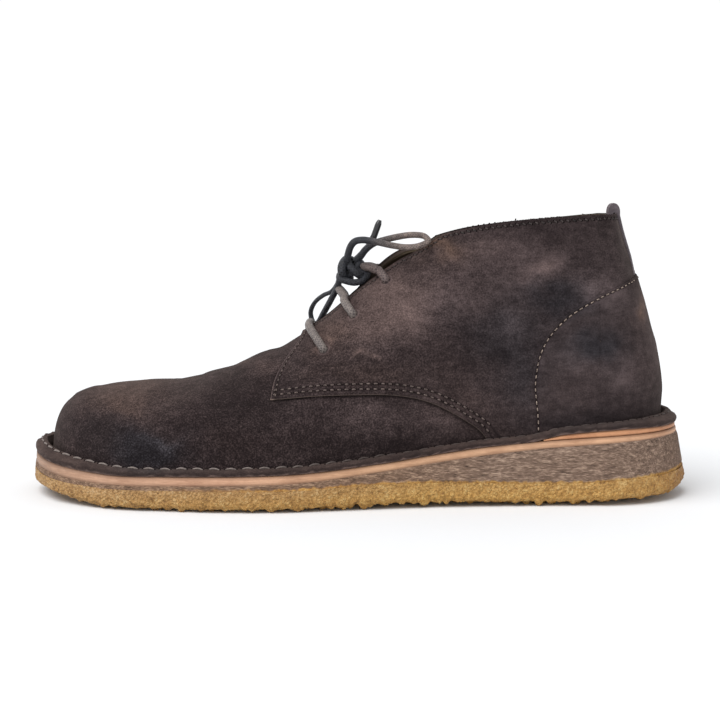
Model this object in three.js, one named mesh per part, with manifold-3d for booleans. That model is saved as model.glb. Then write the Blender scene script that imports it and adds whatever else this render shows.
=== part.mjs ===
import * as THREE from "three";
import { mergeVertices } from "three/addons/utils/BufferGeometryUtils.js";
import Module from "manifold-3d";

// A left desert boot, men's size 42, standing empty. Millimetres. +X runs from toe to heel, -Y is the
// outer side of the foot, +Z is up, and the tips of the tread stand on z = 0.
const wasm = await Module();
wasm.setup();
const { Manifold, Mesh: SolidMesh } = wasm;

const GAP = 0.3; // play between pieces that touch
const SUEDE = 1.8; // vamp leather with its lining
const QUARTER = 1.1; // the quarters' suede, laid over the vamp
const COUNTER = 0.9; // the heel counter's patch, laid over the quarters
const FAR = 200; // longer than any piece

// The last: rays leave a spine and reach the feather line, where the upper meets the sole.
// turn is the ray's direction, from 0 at the toe over 90 at the side to 180 at the heel.
// lateral and medial are its length to the feather line on each side, and ledge is how far the welt
// stands out past it. crest is the top of the section: the ridge of the vamp, then the collar.
// open is half the collar's width there. The section is one cubic curve from feather to crest:
// sideUp and sideOut set how high and how far its flank stands, topFull and topDrop its shoulder.
const TOE_PIVOT = -88;
const HEEL_PIVOT = 106;
const LAST = [
  { x: -88, y: 6, turn: 0, lateral: 55.4, medial: 55.4, ledge: 8.1, crest: 51.2, open: 0,
    sideUp: 0.82, sideOut: 0, topFull: 0.775, topDrop: 1 },
  { x: -88, y: 6, turn: 30, lateral: 52.6, medial: 51.2, ledge: 7.6, crest: 51.2, open: 0,
    sideUp: 0.78, sideOut: 0, topFull: 0.74, topDrop: 1 },
  { x: -88, y: 6, turn: 60, lateral: 50, medial: 43, ledge: 6, crest: 51.2, open: 0,
    sideUp: 0.72, sideOut: 0.6, topFull: 0.7, topDrop: 0.8 },
  { x: -88, y: 6, turn: 90, lateral: 50.5, medial: 41, ledge: 5.2, crest: 51.2, open: 0,
    sideUp: 0.66, sideOut: 1, topFull: 0.66, topDrop: 0.6 },
  { x: -62, y: 4, turn: 90, lateral: 52.4, medial: 45, ledge: 5, crest: 57.1, open: 0,
    sideUp: 0.6, sideOut: 1.4, topFull: 0.6, topDrop: 0.6 },
  { x: -38, y: 2, turn: 90, lateral: 50.8, medial: 44.6, ledge: 5, crest: 66.3, open: 0,
    sideUp: 0.52, sideOut: 1.6, topFull: 0.5, topDrop: 1.5 },
  { x: -18, y: 0, turn: 90, lateral: 46, medial: 41.4, ledge: 5, crest: 78.2, open: 0,
    sideUp: 0.46, sideOut: 1.6, topFull: 0.5, topDrop: 2.6 },
  { x: 8, y: -1.4, turn: 90, lateral: 40, medial: 37.4, ledge: 4.8, crest: 100.6, open: 0,
    sideUp: 0.42, sideOut: 0.8, topFull: 0.56, topDrop: 5 },
  { x: 24, y: -2.2, turn: 90, lateral: 36.4, medial: 35.8, ledge: 4.8, crest: 111.4, open: 3,
    sideUp: 0.4, sideOut: 0.4, topFull: 0.54, topDrop: 8 },
  { x: 38, y: -1.8, turn: 90, lateral: 34.8, medial: 34.4, ledge: 4.8, crest: 119.2, open: 12.6,
    sideUp: 0.38, sideOut: 0, topFull: 0.44, topDrop: 14 },
  { x: 56, y: -1, turn: 90, lateral: 34.2, medial: 32.6, ledge: 4.8, crest: 124, open: 21,
    sideUp: 0.34, sideOut: 0, topFull: 0.32, topDrop: 24 },
  { x: 80, y: -1, turn: 90, lateral: 32.4, medial: 31.2, ledge: 5.4, crest: 127, open: 26.2,
    sideUp: 0.3, sideOut: 0.6, topFull: 0.24, topDrop: 30 },
  { x: 106, y: -1, turn: 90, lateral: 31.4, medial: 30.8, ledge: 6.4, crest: 128.6, open: 22.4,
    sideUp: 0.3, sideOut: 1.2, topFull: 0.36, topDrop: 30 },
  { x: 106, y: -1, turn: 120, lateral: 31, medial: 30.8, ledge: 7.6, crest: 128.6, open: 16.8,
    sideUp: 0.3, sideOut: 1.6, topFull: 0.42, topDrop: 30 },
  { x: 106, y: -1, turn: 150, lateral: 31.1, medial: 31.1, ledge: 9.1, crest: 128.8, open: 12.2,
    sideUp: 0.3, sideOut: 2, topFull: 0.45, topDrop: 30 },
  { x: 106, y: -1, turn: 180, lateral: 31.4, medial: 31.4, ledge: 10.4, crest: 129, open: 11,
    sideUp: 0.3, sideOut: 2.4, topFull: 0.47, topDrop: 30 },
];
const STATION_STEP = 10; // about how far apart the mesh's stations stand along the feather line
const GIRTH_STEPS = 10; // steps from the feather line up to the crest

// Heights of the sole's layers along the boot: the underside between the tread nubs, then the top of
// the crepe outsole, of the felt-grey wedge, of the leather midsole and of the leather heel seat.
const SOLE = [
  { x: -152, tread: 7.2, crepe: 12.8, wedge: 14.2, midsole: 19.0, seat: 19.0 },
  { x: -140, tread: 4.4, crepe: 11.2, wedge: 12.6, midsole: 17.4, seat: 17.4 },
  { x: -122, tread: 2.0, crepe: 9.8, wedge: 11.2, midsole: 15.8, seat: 15.8 },
  { x: -104, tread: 1.5, crepe: 9.3, wedge: 10.8, midsole: 15.0, seat: 15.0 },
  { x: -65, tread: 1.5, crepe: 9.5, wedge: 11.6, midsole: 15.6, seat: 15.6 },
  { x: -28, tread: 1.5, crepe: 9.8, wedge: 12.6, midsole: 16.6, seat: 16.6 },
  { x: 10, tread: 3.0, crepe: 11.4, wedge: 16.6, midsole: 20.2, seat: 20.2 },
  { x: 34, tread: 3.0, crepe: 11.4, wedge: 20.0, midsole: 23.6, seat: 23.6 },
  { x: 58, tread: 2.0, crepe: 10.8, wedge: 23.2, midsole: 26.8, seat: 26.8 },
  { x: 78, tread: 1.5, crepe: 10.4, wedge: 25.4, midsole: 28.7, seat: 28.7 },
  { x: 82, tread: 1.5, crepe: 10.4, wedge: 25.8, midsole: 29.0, seat: 29.9 },
  { x: 92, tread: 1.5, crepe: 10.4, wedge: 26.6, midsole: 29.7, seat: 32.0 },
  { x: 122, tread: 1.5, crepe: 12.0, wedge: 28.6, midsole: 31.4, seat: 34.2 },
  { x: 140, tread: 3.0, crepe: 13.4, wedge: 29.0, midsole: 31.6, seat: 33.8 },
  { x: 152, tread: 5.4, crepe: 14.4, wedge: 28.6, midsole: 31.0, seat: 32.8 },
];
const NUB = { high: 1.5, foot: 2.8, root: 4, sides: 5, pitchX: 18, pitchY: 16.5, inset: 8 };
const HEEL_SEAT_FRONT = 82; // where the heel seat's thin front edge starts
const FLARE = 4.2; // how far the heel's foot stands out past its top
const INSOLE_THICK = 3.0;

// The upper's pattern pieces, seen from the side. A point is a place on the boot's own flank.
const QUARTER_SEAM = [
  { x: -38.7, z: 47.4 },
  { x: -12.8, z: 49.4 },
  { x: 16, z: 49.6 },
  { x: 31, z: 46.6 },
  { x: 46, z: 39.2 },
  { x: 56, z: 31.6 },
  { x: 60, z: 20 },
];
const QUARTER_FRONT = [
  { x: -22, z: 79 },
  { x: -26.5, z: 70.5 },
  { x: -33.6, z: 62 },
  { x: -37.4, z: 54.5 },
  { x: -38.7, z: 47.4 },
];
const COUNTER_EDGE = [
  { x: 134, z: 103.5 },
  { x: 120, z: 98.4 },
  { x: 104, z: 91.6 },
  { x: 90, z: 82.6 },
  { x: 81, z: 71 },
  { x: 77.2, z: 56 },
  { x: 78.4, z: 38 },
  { x: 79, z: 20 },
];
// The throat between the quarters, seen from above: its middle line and half its width.
const THROAT = [
  { x: -25, y: 0.2, half: 1.6 },
  { x: -14, y: -0.6, half: 3.2 },
  { x: 4, y: -2, half: 4.4 },
  { x: 18, y: -2.6, half: 5 },
  { x: 25, y: -2.5, half: 6.4 },
  { x: 32, y: -2.2, half: 9.9 },
  { x: 38, y: -1.9, half: 12.4 },
  { x: 44, y: -1.6, half: 13 },
];
// Lacing from the lowest bar up: the hole, where the lace leaves the facing's edge, and how high it
// crosses the throat. A place is seen from the side, and the other side is its mirror.
const BARS = [
  { hole: { x: -15.4, z: 68.2 }, edge: { x: -20.4, z: 74.6 }, over: { x: -22.4, y: -0.6, z: 78.6 } },
  { hole: { x: -1.9, z: 83.5 }, edge: { x: -6.4, z: 87.6 }, over: { x: -8.6, y: -1, z: 94.8 } },
  { hole: { x: 12.8, z: 98.7 }, edge: { x: 7.8, z: 99 }, over: { x: 2, y: -1.4, z: 103.8 } },
];
const HOLE_RADIUS = 2.5;
const LACE_RADIUS = 1.7;
const LACE_SIDES = 7;
const AGLET_RADIUS = 1.5;

// Tables and curves

// A table's column as a smooth function that never runs past its rows: cubic between rows, level
// where the rows turn back.
function columnOf(rows, places, key) {
  const final = rows.length - 1;
  const rise = (i) => (rows[i + 1][key] - rows[i][key]) / (places[i + 1] - places[i]);
  const slopes = rows.map((_, i) => {
    if (i === 0) return rise(0);
    if (i === final) return rise(final - 1);
    const before = rise(i - 1);
    const after = rise(i);
    return before * after > 0 ? (2 * before * after) / (before + after) : 0;
  });
  return (at) => {
    const place = THREE.MathUtils.clamp(at, places[0], places[final]);
    const i = Math.min(Math.max(places.findLastIndex((p) => p <= place), 0), final - 1);
    const span = places[i + 1] - places[i];
    const t = (place - places[i]) / span;
    const ease = t * t * (3 - 2 * t);
    return (
      rows[i][key] * (1 - ease) + rows[i + 1][key] * ease +
      slopes[i] * span * t * (1 - t) * (1 - t) - slopes[i + 1] * span * t * t * (1 - t)
    );
  };
}

const columnsOf = (rows, places) =>
  Object.fromEntries(Object.keys(rows[0]).map((key) => [key, columnOf(rows, places, key)]));

const sole = columnsOf(SOLE, SOLE.map((row) => row.x));
const treadAt = (x) => Math.max(sole.tread(x), NUB.high);

const rayOf = (turn, side) => {
  const angle = THREE.MathUtils.degToRad(turn);
  return new THREE.Vector2(-Math.cos(angle), side * Math.sin(angle));
};

// Stations are counted in millimetres walked along the feather line from toe to heel.
function walkedPlaces(rows) {
  const ends = rows.map((row) =>
    rayOf(row.turn, 1).multiplyScalar((row.lateral + row.medial) / 2).add(new THREE.Vector2(row.x, 0)));
  let walked = 0;
  return ends.map((end, i) => (walked += i ? end.distanceTo(ends[i - 1]) : 0));
}
const PLACES = walkedPlaces(LAST);
const last = columnsOf(LAST, PLACES);
const STATIONS = PLACES.slice(1).reduce(
  (made, place, i) => {
    const span = place - PLACES[i];
    const count = Math.max(2, Math.round(span / STATION_STEP));
    return made.concat(Array.from({ length: count }, (_, k) => PLACES[i] + (span * (k + 1)) / count));
  },
  [0],
);
const LATERAL = -1;
const MEDIAL = 1;
const SIDES = [LATERAL, MEDIAL];

// The feather line in plan at a station, moved out by extra.
function outlinePoint(station, side, extra = 0) {
  const reach = (side === LATERAL ? last.lateral : last.medial)(station) + extra;
  return rayOf(last.turn(station), side).multiplyScalar(reach)
    .add(new THREE.Vector2(last.x(station), last.y(station)));
}

// A point of the last's skin: v runs from 0 at the feather line to 1 at the crest.
function skinPoint(station, v, side) {
  const ray = rayOf(last.turn(station), side);
  const reach = (side === LATERAL ? last.lateral : last.medial)(station);
  const open = Math.max(last.open(station), 0);
  const foot = outlinePoint(station, side);
  const low = sole.seat(foot.x) + GAP;
  const crest = last.crest(station);
  const radii = [reach, reach + last.sideOut(station), open + last.topFull(station) * (reach - open), open];
  const heights = [low, low + last.sideUp(station) * (crest - low), crest - last.topDrop(station), crest];
  const weights = [(1 - v) ** 3, 3 * v * (1 - v) ** 2, 3 * v * v * (1 - v), v ** 3];
  const blend = (values) => values.reduce((sum, value, i) => sum + value * weights[i], 0);
  const radius = blend(radii);
  return new THREE.Vector3(
    last.x(station) + ray.x * radius, last.y(station) + ray.y * radius, blend(heights));
}

const stationAt = (x, side = LATERAL) => {
  let low = 0;
  let high = PLACES.at(-1);
  for (let i = 0; i < 40; i++) {
    const middle = (low + high) / 2;
    if (outlinePoint(middle, side).x < x) low = middle;
    else high = middle;
  }
  return (low + high) / 2;
};

// Solids from meshes

function solidOf(points, faces) {
  return new Manifold(new SolidMesh({
    numProp: 3,
    vertProperties: Float32Array.from(points.flatMap((p) => p.toArray())),
    triVerts: Uint32Array.from(faces.flat()),
  }));
}

function solidFrom(geometry) {
  const bare = geometry.clone();
  bare.deleteAttribute("normal");
  bare.deleteAttribute("uv");
  const merged = mergeVertices(bare, 1e-4);
  return new Manifold(new SolidMesh({
    numProp: 3,
    vertProperties: Float32Array.from(merged.attributes.position.array),
    triVerts: Uint32Array.from(merged.index.array),
  }));
}

function geometryOf(solid) {
  const mesh = solid.getMesh();
  return new THREE.BufferGeometry()
    .setAttribute("position", new THREE.BufferAttribute(Float32Array.from(mesh.vertProperties), 3))
    .setIndex(new THREE.BufferAttribute(Uint32Array.from(mesh.triVerts), 1));
}

// Two triangles for a four-sided patch; a corner that is doubled drops its triangle.
function patch(faces, a, b, c, d) {
  for (const face of [[a, b, c], [a, c, d]]) if (new Set(face).size === 3) faces.push(face);
}

// A closed skin of rings around the boot. pointOf(ring, station, side) gives each point, and the first
// and last ring are closed by flat strips from side to side.
function closeRings(ringCount, pointOf) {
  const points = [];
  const known = new Map();
  const place = (p) => {
    const key = p.toArray().map((v) => v.toFixed(4)).join();
    if (!known.has(key)) known.set(key, points.push(p) - 1);
    return known.get(key);
  };
  const ids = SIDES.map((side) =>
    STATIONS.map((station) =>
      Array.from({ length: ringCount }, (_, ring) => place(pointOf(ring, station, side)))));
  const walls = [];
  const lids = [];
  for (let i = 0; i + 1 < STATIONS.length; i++) {
    const [lateral, medial] = ids;
    for (let ring = 0; ring + 1 < ringCount; ring++) {
      patch(walls, lateral[i][ring], lateral[i + 1][ring], lateral[i + 1][ring + 1], lateral[i][ring + 1]);
      patch(walls, medial[i][ring + 1], medial[i + 1][ring + 1], medial[i + 1][ring], medial[i][ring]);
    }
    const top = ringCount - 1;
    patch(lids, medial[i][0], medial[i + 1][0], lateral[i + 1][0], lateral[i][0]);
    patch(lids, lateral[i][top], lateral[i + 1][top], medial[i + 1][top], medial[i][top]);
  }
  return { points, walls, lids, ids };
}

// The last's skin once, with its outward normals.
const SKIN = closeRings(GIRTH_STEPS + 1, (ring, station, side) =>
  skinPoint(station, ring / GIRTH_STEPS, side));
const NORMALS = SKIN.points.map(() => new THREE.Vector3());
for (const face of SKIN.walls) {
  const [a, b, c] = face.map((id) => SKIN.points[id]);
  const across = b.clone().sub(a).cross(c.clone().sub(a));
  face.forEach((id) => NORMALS[id].add(across));
}
NORMALS.forEach((normal) => normal.normalize());

// The closed form of the last, grown by grow. hem lowers its foot and lift carries its open collar on
// along the leather, so that a form taken out of a wider one leaves it open at both ends.
function form(grow, { hem = 0, lift = 0 } = {}) {
  const moved = SKIN.points.map((point, id) => point.clone().addScaledVector(NORMALS[id], grow));
  const carried = new Set();
  SKIN.ids.forEach((columns) =>
    STATIONS.forEach((station, i) => {
      const foot = columns[i][0];
      const rim = columns[i][GIRTH_STEPS];
      const open = last.open(station);
      moved[foot].z = SKIN.points[foot].z - hem;
      if (open <= 0 || carried.has(rim)) return;
      carried.add(rim);
      const along = SKIN.points[rim].clone().sub(SKIN.points[columns[i][GIRTH_STEPS - 1]]).normalize();
      const reach = Math.min(lift, (0.8 * open) / Math.hypot(along.x, along.y));
      if (lift > 0) moved[rim].addScaledVector(along, reach);
      else moved[rim].z = SKIN.points[rim].z;
    }));
  return solidOf(moved, [...SKIN.walls, ...SKIN.lids]);
}

// A flat outline drawn from the side, pushed through one half of the boot.
function sidePrism(shape, side, segments = 3) {
  const geometry = new THREE.ExtrudeGeometry(shape, {
    depth: FAR, bevelEnabled: false, curveSegments: segments });
  geometry.rotateX(Math.PI / 2);
  if (side === MEDIAL) geometry.translate(0, FAR, 0);
  return solidFrom(geometry);
}

const flat = (row) => new THREE.Vector2(row.x, row.z);

function quarterShape() {
  const start = QUARTER_SEAM[0];
  const front = QUARTER_FRONT[0];
  return new THREE.Shape()
    .moveTo(start.x, start.z)
    .splineThru(QUARTER_SEAM.slice(1).map(flat))
    .lineTo(FAR, QUARTER_SEAM.at(-1).z - 20)
    .lineTo(FAR, FAR)
    .lineTo(front.x + 40, FAR)
    .lineTo(front.x, front.z)
    .splineThru(QUARTER_FRONT.slice(1).map(flat));
}

function counterShape() {
  const start = COUNTER_EDGE[0];
  return new THREE.Shape()
    .moveTo(start.x, start.z)
    .splineThru(COUNTER_EDGE.slice(1).map(flat))
    .lineTo(FAR, COUNTER_EDGE.at(-1).z)
    .lineTo(FAR, start.z + 8);
}

const bothSides = (shape) => Manifold.union(SIDES.map((side) => sidePrism(shape, side)));

// An outline drawn from above, pushed up from low.
function planPrism(shape, low) {
  const geometry = new THREE.ExtrudeGeometry(shape, {
    depth: FAR, bevelEnabled: false, curveSegments: 3 });
  return solidFrom(geometry.translate(0, 0, low));
}

function throatCutter() {
  const edge = (sign) => THROAT.map((row) => new THREE.Vector2(row.x, row.y + sign * row.half));
  const shape = new THREE.Shape()
    .moveTo(THROAT[0].x - THROAT[0].half, THROAT[0].y)
    .splineThru(edge(1))
    .lineTo(THROAT.at(-1).x + 12, THROAT.at(-1).y)
    .lineTo(THROAT.at(-1).x, THROAT.at(-1).y - THROAT.at(-1).half)
    .splineThru(edge(-1).reverse().slice(1));
  return planPrism(shape, 60);
}

// Upper

const QUARTER_OUTLINE = quarterShape();
const COUNTER_OUTLINE = counterShape();

// A place on the quarter's face seen from the side, moved out along the face's own direction.
function onQuarter({ x, z }, side, out = 0) {
  const station = stationAt(x, side);
  let low = 0;
  let high = 1;
  for (let i = 0; i < 30; i++) {
    const middle = (low + high) / 2;
    if (skinPoint(station, middle, side).z < z) low = middle;
    else high = middle;
  }
  const at = skinPoint(station, low, side);
  const along = skinPoint(station + 1, low, side).sub(at);
  const up = at.clone().sub(skinPoint(station, low - 0.02, side));
  const normal = along.cross(up).multiplyScalar(-side).normalize();
  return { at: at.addScaledVector(normal, QUARTER + out), normal };
}

function holeCutter(seat) {
  const drill = new THREE.CylinderGeometry(HOLE_RADIUS, HOLE_RADIUS, 12, 12);
  drill.applyQuaternion(new THREE.Quaternion().setFromUnitVectors(
    new THREE.Vector3(0, 1, 0), seat.normal));
  drill.translate(seat.at.x, seat.at.y, seat.at.z);
  return solidFrom(drill);
}

const HOLE_SEATS = BARS.map(({ hole }) => SIDES.map((side) => onQuarter(hole, side)));

function upper() {
  const inside = form(-SUEDE, { hem: 12, lift: 12 });
  const vamp = form(0);
  const quarters = form(QUARTER).intersect(bothSides(QUARTER_OUTLINE));
  const counter = form(QUARTER + COUNTER).intersect(bothSides(COUNTER_OUTLINE));
  const cutters = HOLE_SEATS.flat().map(holeCutter);
  return Manifold.union([vamp, quarters, counter])
    .subtract(inside)
    .subtract(Manifold.union([throatCutter(), ...cutters]));
}

// The room that the upper takes from a piece that lies against its outside.
function upperRoom() {
  return Manifold.union([
    form(GAP, { hem: 12 }),
    form(QUARTER + GAP, { hem: 12 }).intersect(bothSides(QUARTER_OUTLINE).translate([-GAP, 0, -GAP])),
    form(QUARTER + COUNTER + GAP, { hem: 12 })
      .intersect(bothSides(COUNTER_OUTLINE).translate([-GAP, 0, -GAP])),
  ]);
}

const TONGUE = { front: -46, frontHalf: 12, backHalf: 25, back: 30, thick: 1.9, under: 0.5 };

function tongue() {
  const outside = form(-SUEDE - TONGUE.under);
  const inside = form(-SUEDE - TONGUE.under - TONGUE.thick, { hem: 12, lift: 12 });
  const shape = new THREE.Shape()
    .moveTo(TONGUE.front, -TONGUE.frontHalf)
    .lineTo(TONGUE.front, TONGUE.frontHalf)
    .lineTo(TONGUE.back - 26, TONGUE.backHalf)
    .lineTo(TONGUE.back - 4, TONGUE.backHalf)
    .lineTo(TONGUE.back, TONGUE.backHalf - 5)
    .lineTo(TONGUE.back, 5 - TONGUE.backHalf)
    .lineTo(TONGUE.back - 4, -TONGUE.backHalf)
    .lineTo(TONGUE.back - 26, -TONGUE.backHalf);
  return outside.subtract(inside).intersect(planPrism(shape, 56));
}

// Sole

// A layer of the sole: each ring is moved out from the sole's edge by spread, at a height along x.
function layer(rings) {
  const { points, walls, lids } = closeRings(rings.length, (ring, station, side) => {
    const { spread, height } = rings[ring];
    const at = outlinePoint(station, side, spread(station));
    return new THREE.Vector3(at.x, at.y, height(at.x, station));
  });
  return solidOf(points, [...walls, ...lids]);
}

const edge = (extra = 0) => (station) => last.ledge(station) + extra;
// The heel's side leans out towards the floor, and the forefoot's stands nearly upright.
const lean = (share) => (station) =>
  last.ledge(station) + share * (0.6 + (FLARE - 0.6) * THREE.MathUtils.smoothstep(last.turn(station), 90, 180));

function outsole() {
  const body = layer([
    { spread: (station) => lean(1)(station) - 2.4, height: treadAt },
    { spread: lean(1), height: (x) => treadAt(x) + 2.6 },
    { spread: lean(0.8), height: sole.crepe },
  ]);
  return Manifold.union([body, ...nubs()]);
}

// The crepe's nubs: short blunt cones in rows across the sole, each row shifted and turned a little.
function nubs() {
  const made = [];
  const rows = Math.floor(284 / NUB.pitchX);
  for (let row = 0; row <= rows; row++) {
    const x = -142 + row * NUB.pitchX + 1;
    const [a, b] = SIDES.map((side) =>
      outlinePoint(stationAt(x, side), side, last.ledge(stationAt(x, side)) - NUB.inset));
    const count = Math.max(2, Math.round((b.y - a.y) / NUB.pitchY));
    for (let k = 0; k < count; k++) {
      const wobble = Math.sin(row * 12.7 + k * 5.3);
      const share = (k + 0.5 + 0.12 * wobble) / count;
      const at = a.clone().lerp(b, share);
      at.x += 2.2 * Math.cos(row * 4.1 + k * 8.9);
      const nub = new THREE.CylinderGeometry(NUB.root, NUB.foot, NUB.high + 0.8, NUB.sides);
      nub.rotateX(Math.PI / 2);
      nub.rotateZ(row + k * 1.7);
      nub.translate(at.x, at.y, treadAt(at.x) - NUB.high + (NUB.high + 0.8) / 2);
      made.push(solidFrom(nub));
    }
  }
  return made;
}

const wedge = () => layer([
  { spread: lean(0.8), height: (x) => sole.crepe(x) + GAP },
  { spread: lean(0.1), height: sole.wedge },
]);

const midsole = () => layer([
  { spread: edge(-0.4), height: (x) => sole.wedge(x) + GAP },
  { spread: edge(-0.6), height: sole.midsole },
]);

function heelSeat() {
  const block = layer([
    { spread: edge(-0.7), height: (x) => sole.midsole(x) + GAP },
    { spread: edge(-0.9), height: (x) => Math.max(sole.seat(x) - 0.1, sole.midsole(x) + GAP + 0.3) },
  ]);
  const behind = new THREE.BoxGeometry(FAR, FAR, FAR);
  behind.translate(HEEL_SEAT_FRONT + FAR / 2, 0, 0);
  return block.intersect(solidFrom(behind));
}

// The welt: a suede strip round the upper's foot, thicker at toe and heel, its top rising inwards.
const weltThick = (station) => {
  const cosine = Math.cos(THREE.MathUtils.degToRad(last.turn(station)));
  return 2.4 + (cosine > 0 ? 1.8 : 0.7) * Math.abs(cosine) ** 1.2;
};
const weltRise = (station) => 0.5 + 1.5 * Math.cos(THREE.MathUtils.degToRad(last.turn(station))) ** 2;

function welt() {
  const ring = (extra, share, rise = 0) => ({
    spread: edge(extra),
    height: (x, station) =>
      sole.seat(x) + GAP + weltThick(station) * share + weltRise(station) * rise,
  });
  const body = layer([ring(-0.6, 0), ring(0.1, 0.45), ring(-1, 1), ring(-3.6, 1, 1)]);
  return body.subtract(upperRoom());
}

const insole = () => layer([
  { spread: () => -SUEDE - 0.9, height: (x) => sole.seat(x) + GAP },
  { spread: () => -SUEDE - 0.9, height: (x) => sole.seat(x) + GAP + INSOLE_THICK },
]);

// Pull loop: one strap from inside the collar, up over it and down the back seam to the counter.
const STRAP = { half: 5, thick: 1.1, inside: 13, stand: 3.6, down: 24 };

// The strap's section at one place across it: its outer and inner faces, in millimetres out from the
// collar's middle and up.
function strapSection(station, side) {
  const middle = new THREE.Vector2(last.x(station), last.y(station));
  const rim = skinPoint(station, 1, side).z;
  const wallAt = (drop) => {
    let v = 1;
    while (skinPoint(station, v, side).z > rim - drop) v -= 0.001;
    const at = skinPoint(station, v, side);
    return Math.hypot(at.x - middle.x, at.y - middle.y);
  };
  const out = (drop) => wallAt(drop) + QUARTER + GAP;
  const back = (drop) => wallAt(drop) - SUEDE - 2 * GAP;
  const half = (out(0) - back(0)) / 2;
  const centre = (out(0) + back(0)) / 2;
  const arch = [0, 45, 90, 135, 180].map((turn) => {
    const angle = THREE.MathUtils.degToRad(turn);
    return { c: Math.cos(angle), s: Math.sin(angle) };
  });
  const under = [
    ...[STRAP.down, STRAP.down / 2].map((drop) => new THREE.Vector2(out(drop), rim - drop)),
    ...arch.map(({ c, s }) => new THREE.Vector2(centre + half * c, rim + STRAP.stand * s)),
    new THREE.Vector2(back(STRAP.inside), rim - STRAP.inside),
  ];
  const over = [
    ...[STRAP.down, STRAP.down / 2].map((drop) => new THREE.Vector2(out(drop) + STRAP.thick, rim - drop)),
    ...arch.map(({ c, s }) => new THREE.Vector2(
      centre + (half + STRAP.thick) * c, rim + (STRAP.stand + STRAP.thick) * s)),
    new THREE.Vector2(back(STRAP.inside) - STRAP.thick, rim - STRAP.inside),
  ];
  const ray = rayOf(last.turn(station), side);
  const place = (p) => new THREE.Vector3(middle.x + ray.x * p.x, middle.y + ray.y * p.x, p.y);
  return [...under.map(place), ...over.reverse().map(place)];
}

function pullLoop() {
  const heel = PLACES.at(-1);
  const across = STRAP.half / (last.open(heel) + QUARTER);
  const stepOver = (share) => heel - share * THREE.MathUtils.radToDeg(across) / 30 *
    (PLACES.at(-1) - PLACES.at(-2));
  const sections = [
    strapSection(stepOver(1), LATERAL), strapSection(stepOver(0.5), LATERAL),
    strapSection(heel, LATERAL),
    strapSection(stepOver(0.5), MEDIAL), strapSection(stepOver(1), MEDIAL),
  ];
  const count = sections[0].length;
  const faces = [];
  for (let i = 0; i + 1 < sections.length; i++)
    for (let k = 0; k < count; k++) {
      const next = (k + 1) % count;
      patch(faces, i * count + k, i * count + next, (i + 1) * count + next, (i + 1) * count + k);
    }
  const lid = (base, flip) => {
    for (let k = 0; k + 1 < count / 2; k++) {
      const quad = [k, k + 1, count - 2 - k, count - 1 - k].map((id) => base + id);
      patch(faces, ...(flip ? quad.reverse() : quad));
    }
  };
  lid(0, true);
  lid((sections.length - 1) * count, false);
  return solidOf(sections.flat(), faces);
}

// Lace

// A round cord along points chosen by hand, as a closed tube with flat ends.
function cord(points, radius = LACE_RADIUS, step = 4) {
  const path = new THREE.CatmullRomCurve3(points, false, "centripetal");
  const section = new THREE.Shape(Array.from({ length: LACE_SIDES }, (_, i) => {
    const angle = (i / LACE_SIDES) * 2 * Math.PI;
    return new THREE.Vector2(radius * Math.cos(angle), radius * Math.sin(angle));
  }));
  const steps = Math.max(4, Math.round(path.getLength() / step));
  return solidFrom(new THREE.ExtrudeGeometry(section, { steps, extrudePath: path, bevelEnabled: false }));
}

const spot = (x, y, z) => new THREE.Vector3(x, y, z);

// A bar from one hole over the throat to its twin: each end dips into its hole.
function laceBar({ hole, edge: brink, over }) {
  const halfway = { x: (hole.x + brink.x) / 2, z: (hole.z + brink.z) / 2 };
  const rise = (side) => [
    onQuarter(hole, side, -1.4).at,
    onQuarter(hole, side, 1.2).at,
    onQuarter(halfway, side, LACE_RADIUS + 1).at,
    onQuarter(brink, side, LACE_RADIUS + 0.9).at,
  ];
  return cord([...rise(LATERAL), spot(over.x, over.y, over.z), ...rise(MEDIAL).reverse()], LACE_RADIUS, 3);
}

const KNOT = { x: -5.4, y: -1, z: 103.8, halfX: 5.4, halfY: 4.8, halfZ: 4.2 };

function knot() {
  const ball = new THREE.SphereGeometry(1, 12, 8).rotateX(Math.PI / 2);
  ball.scale(KNOT.halfX, KNOT.halfY, KNOT.halfZ);
  return solidFrom(ball.translate(KNOT.x, KNOT.y, KNOT.z));
}

// Where a run leaves the knot on its way to a point.
function atKnot(towards) {
  const centre = spot(KNOT.x, KNOT.y, KNOT.z);
  const way = towards.clone().sub(centre);
  const reach = 1 / Math.hypot(way.x / KNOT.halfX, way.y / KNOT.halfY, way.z / KNOT.halfZ);
  return centre.addScaledVector(way, reach).addScaledVector(way.normalize(), GAP);
}

// The bow's free runs, each from the knot outwards and, for a loop, back to it.
const LOOP_BACK = [
  spot(-4.4, -5.2, 112.2), spot(-2.4, -8.2, 115.8), spot(1.6, -11, 117.4),
  spot(8.1, -14, 116.4), spot(16.7, -17, 115.4), spot(25, -19, 115.4), spot(31, -18.8, 116.4),
  spot(33.6, -16, 117.8), spot(31.2, -12.8, 119), spot(24, -9.4, 119.6), spot(16.6, -6, 118.6),
  spot(10.4, -3.2, 116.8), spot(6.2, -1.2, 114.2), spot(2.6, -0.6, 110.6),
];
const LOOP_FRONT = [
  spot(-12.8, -2.2, 96), spot(-14.4, 2.4, 91.4), spot(-16.2, 9, 86.4),
  spot(-17.8, 14, 81.2), spot(-19, 17.4, 78.2), spot(-20.6, 20, 79.4), spot(-21.4, 21, 82.8),
  spot(-19.6, 17.6, 87.4), spot(-16.4, 12, 91.4), spot(-13.4, 7.4, 96),
];
const END_UP = [spot(0.2, 5.4, 108.6), spot(4.6, 5.6, 113.4), spot(7.2, 6, 118)];
const AGLET_UP = [spot(7.3, 6, 118.4), spot(10, 6.5, 125.6)];
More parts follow.
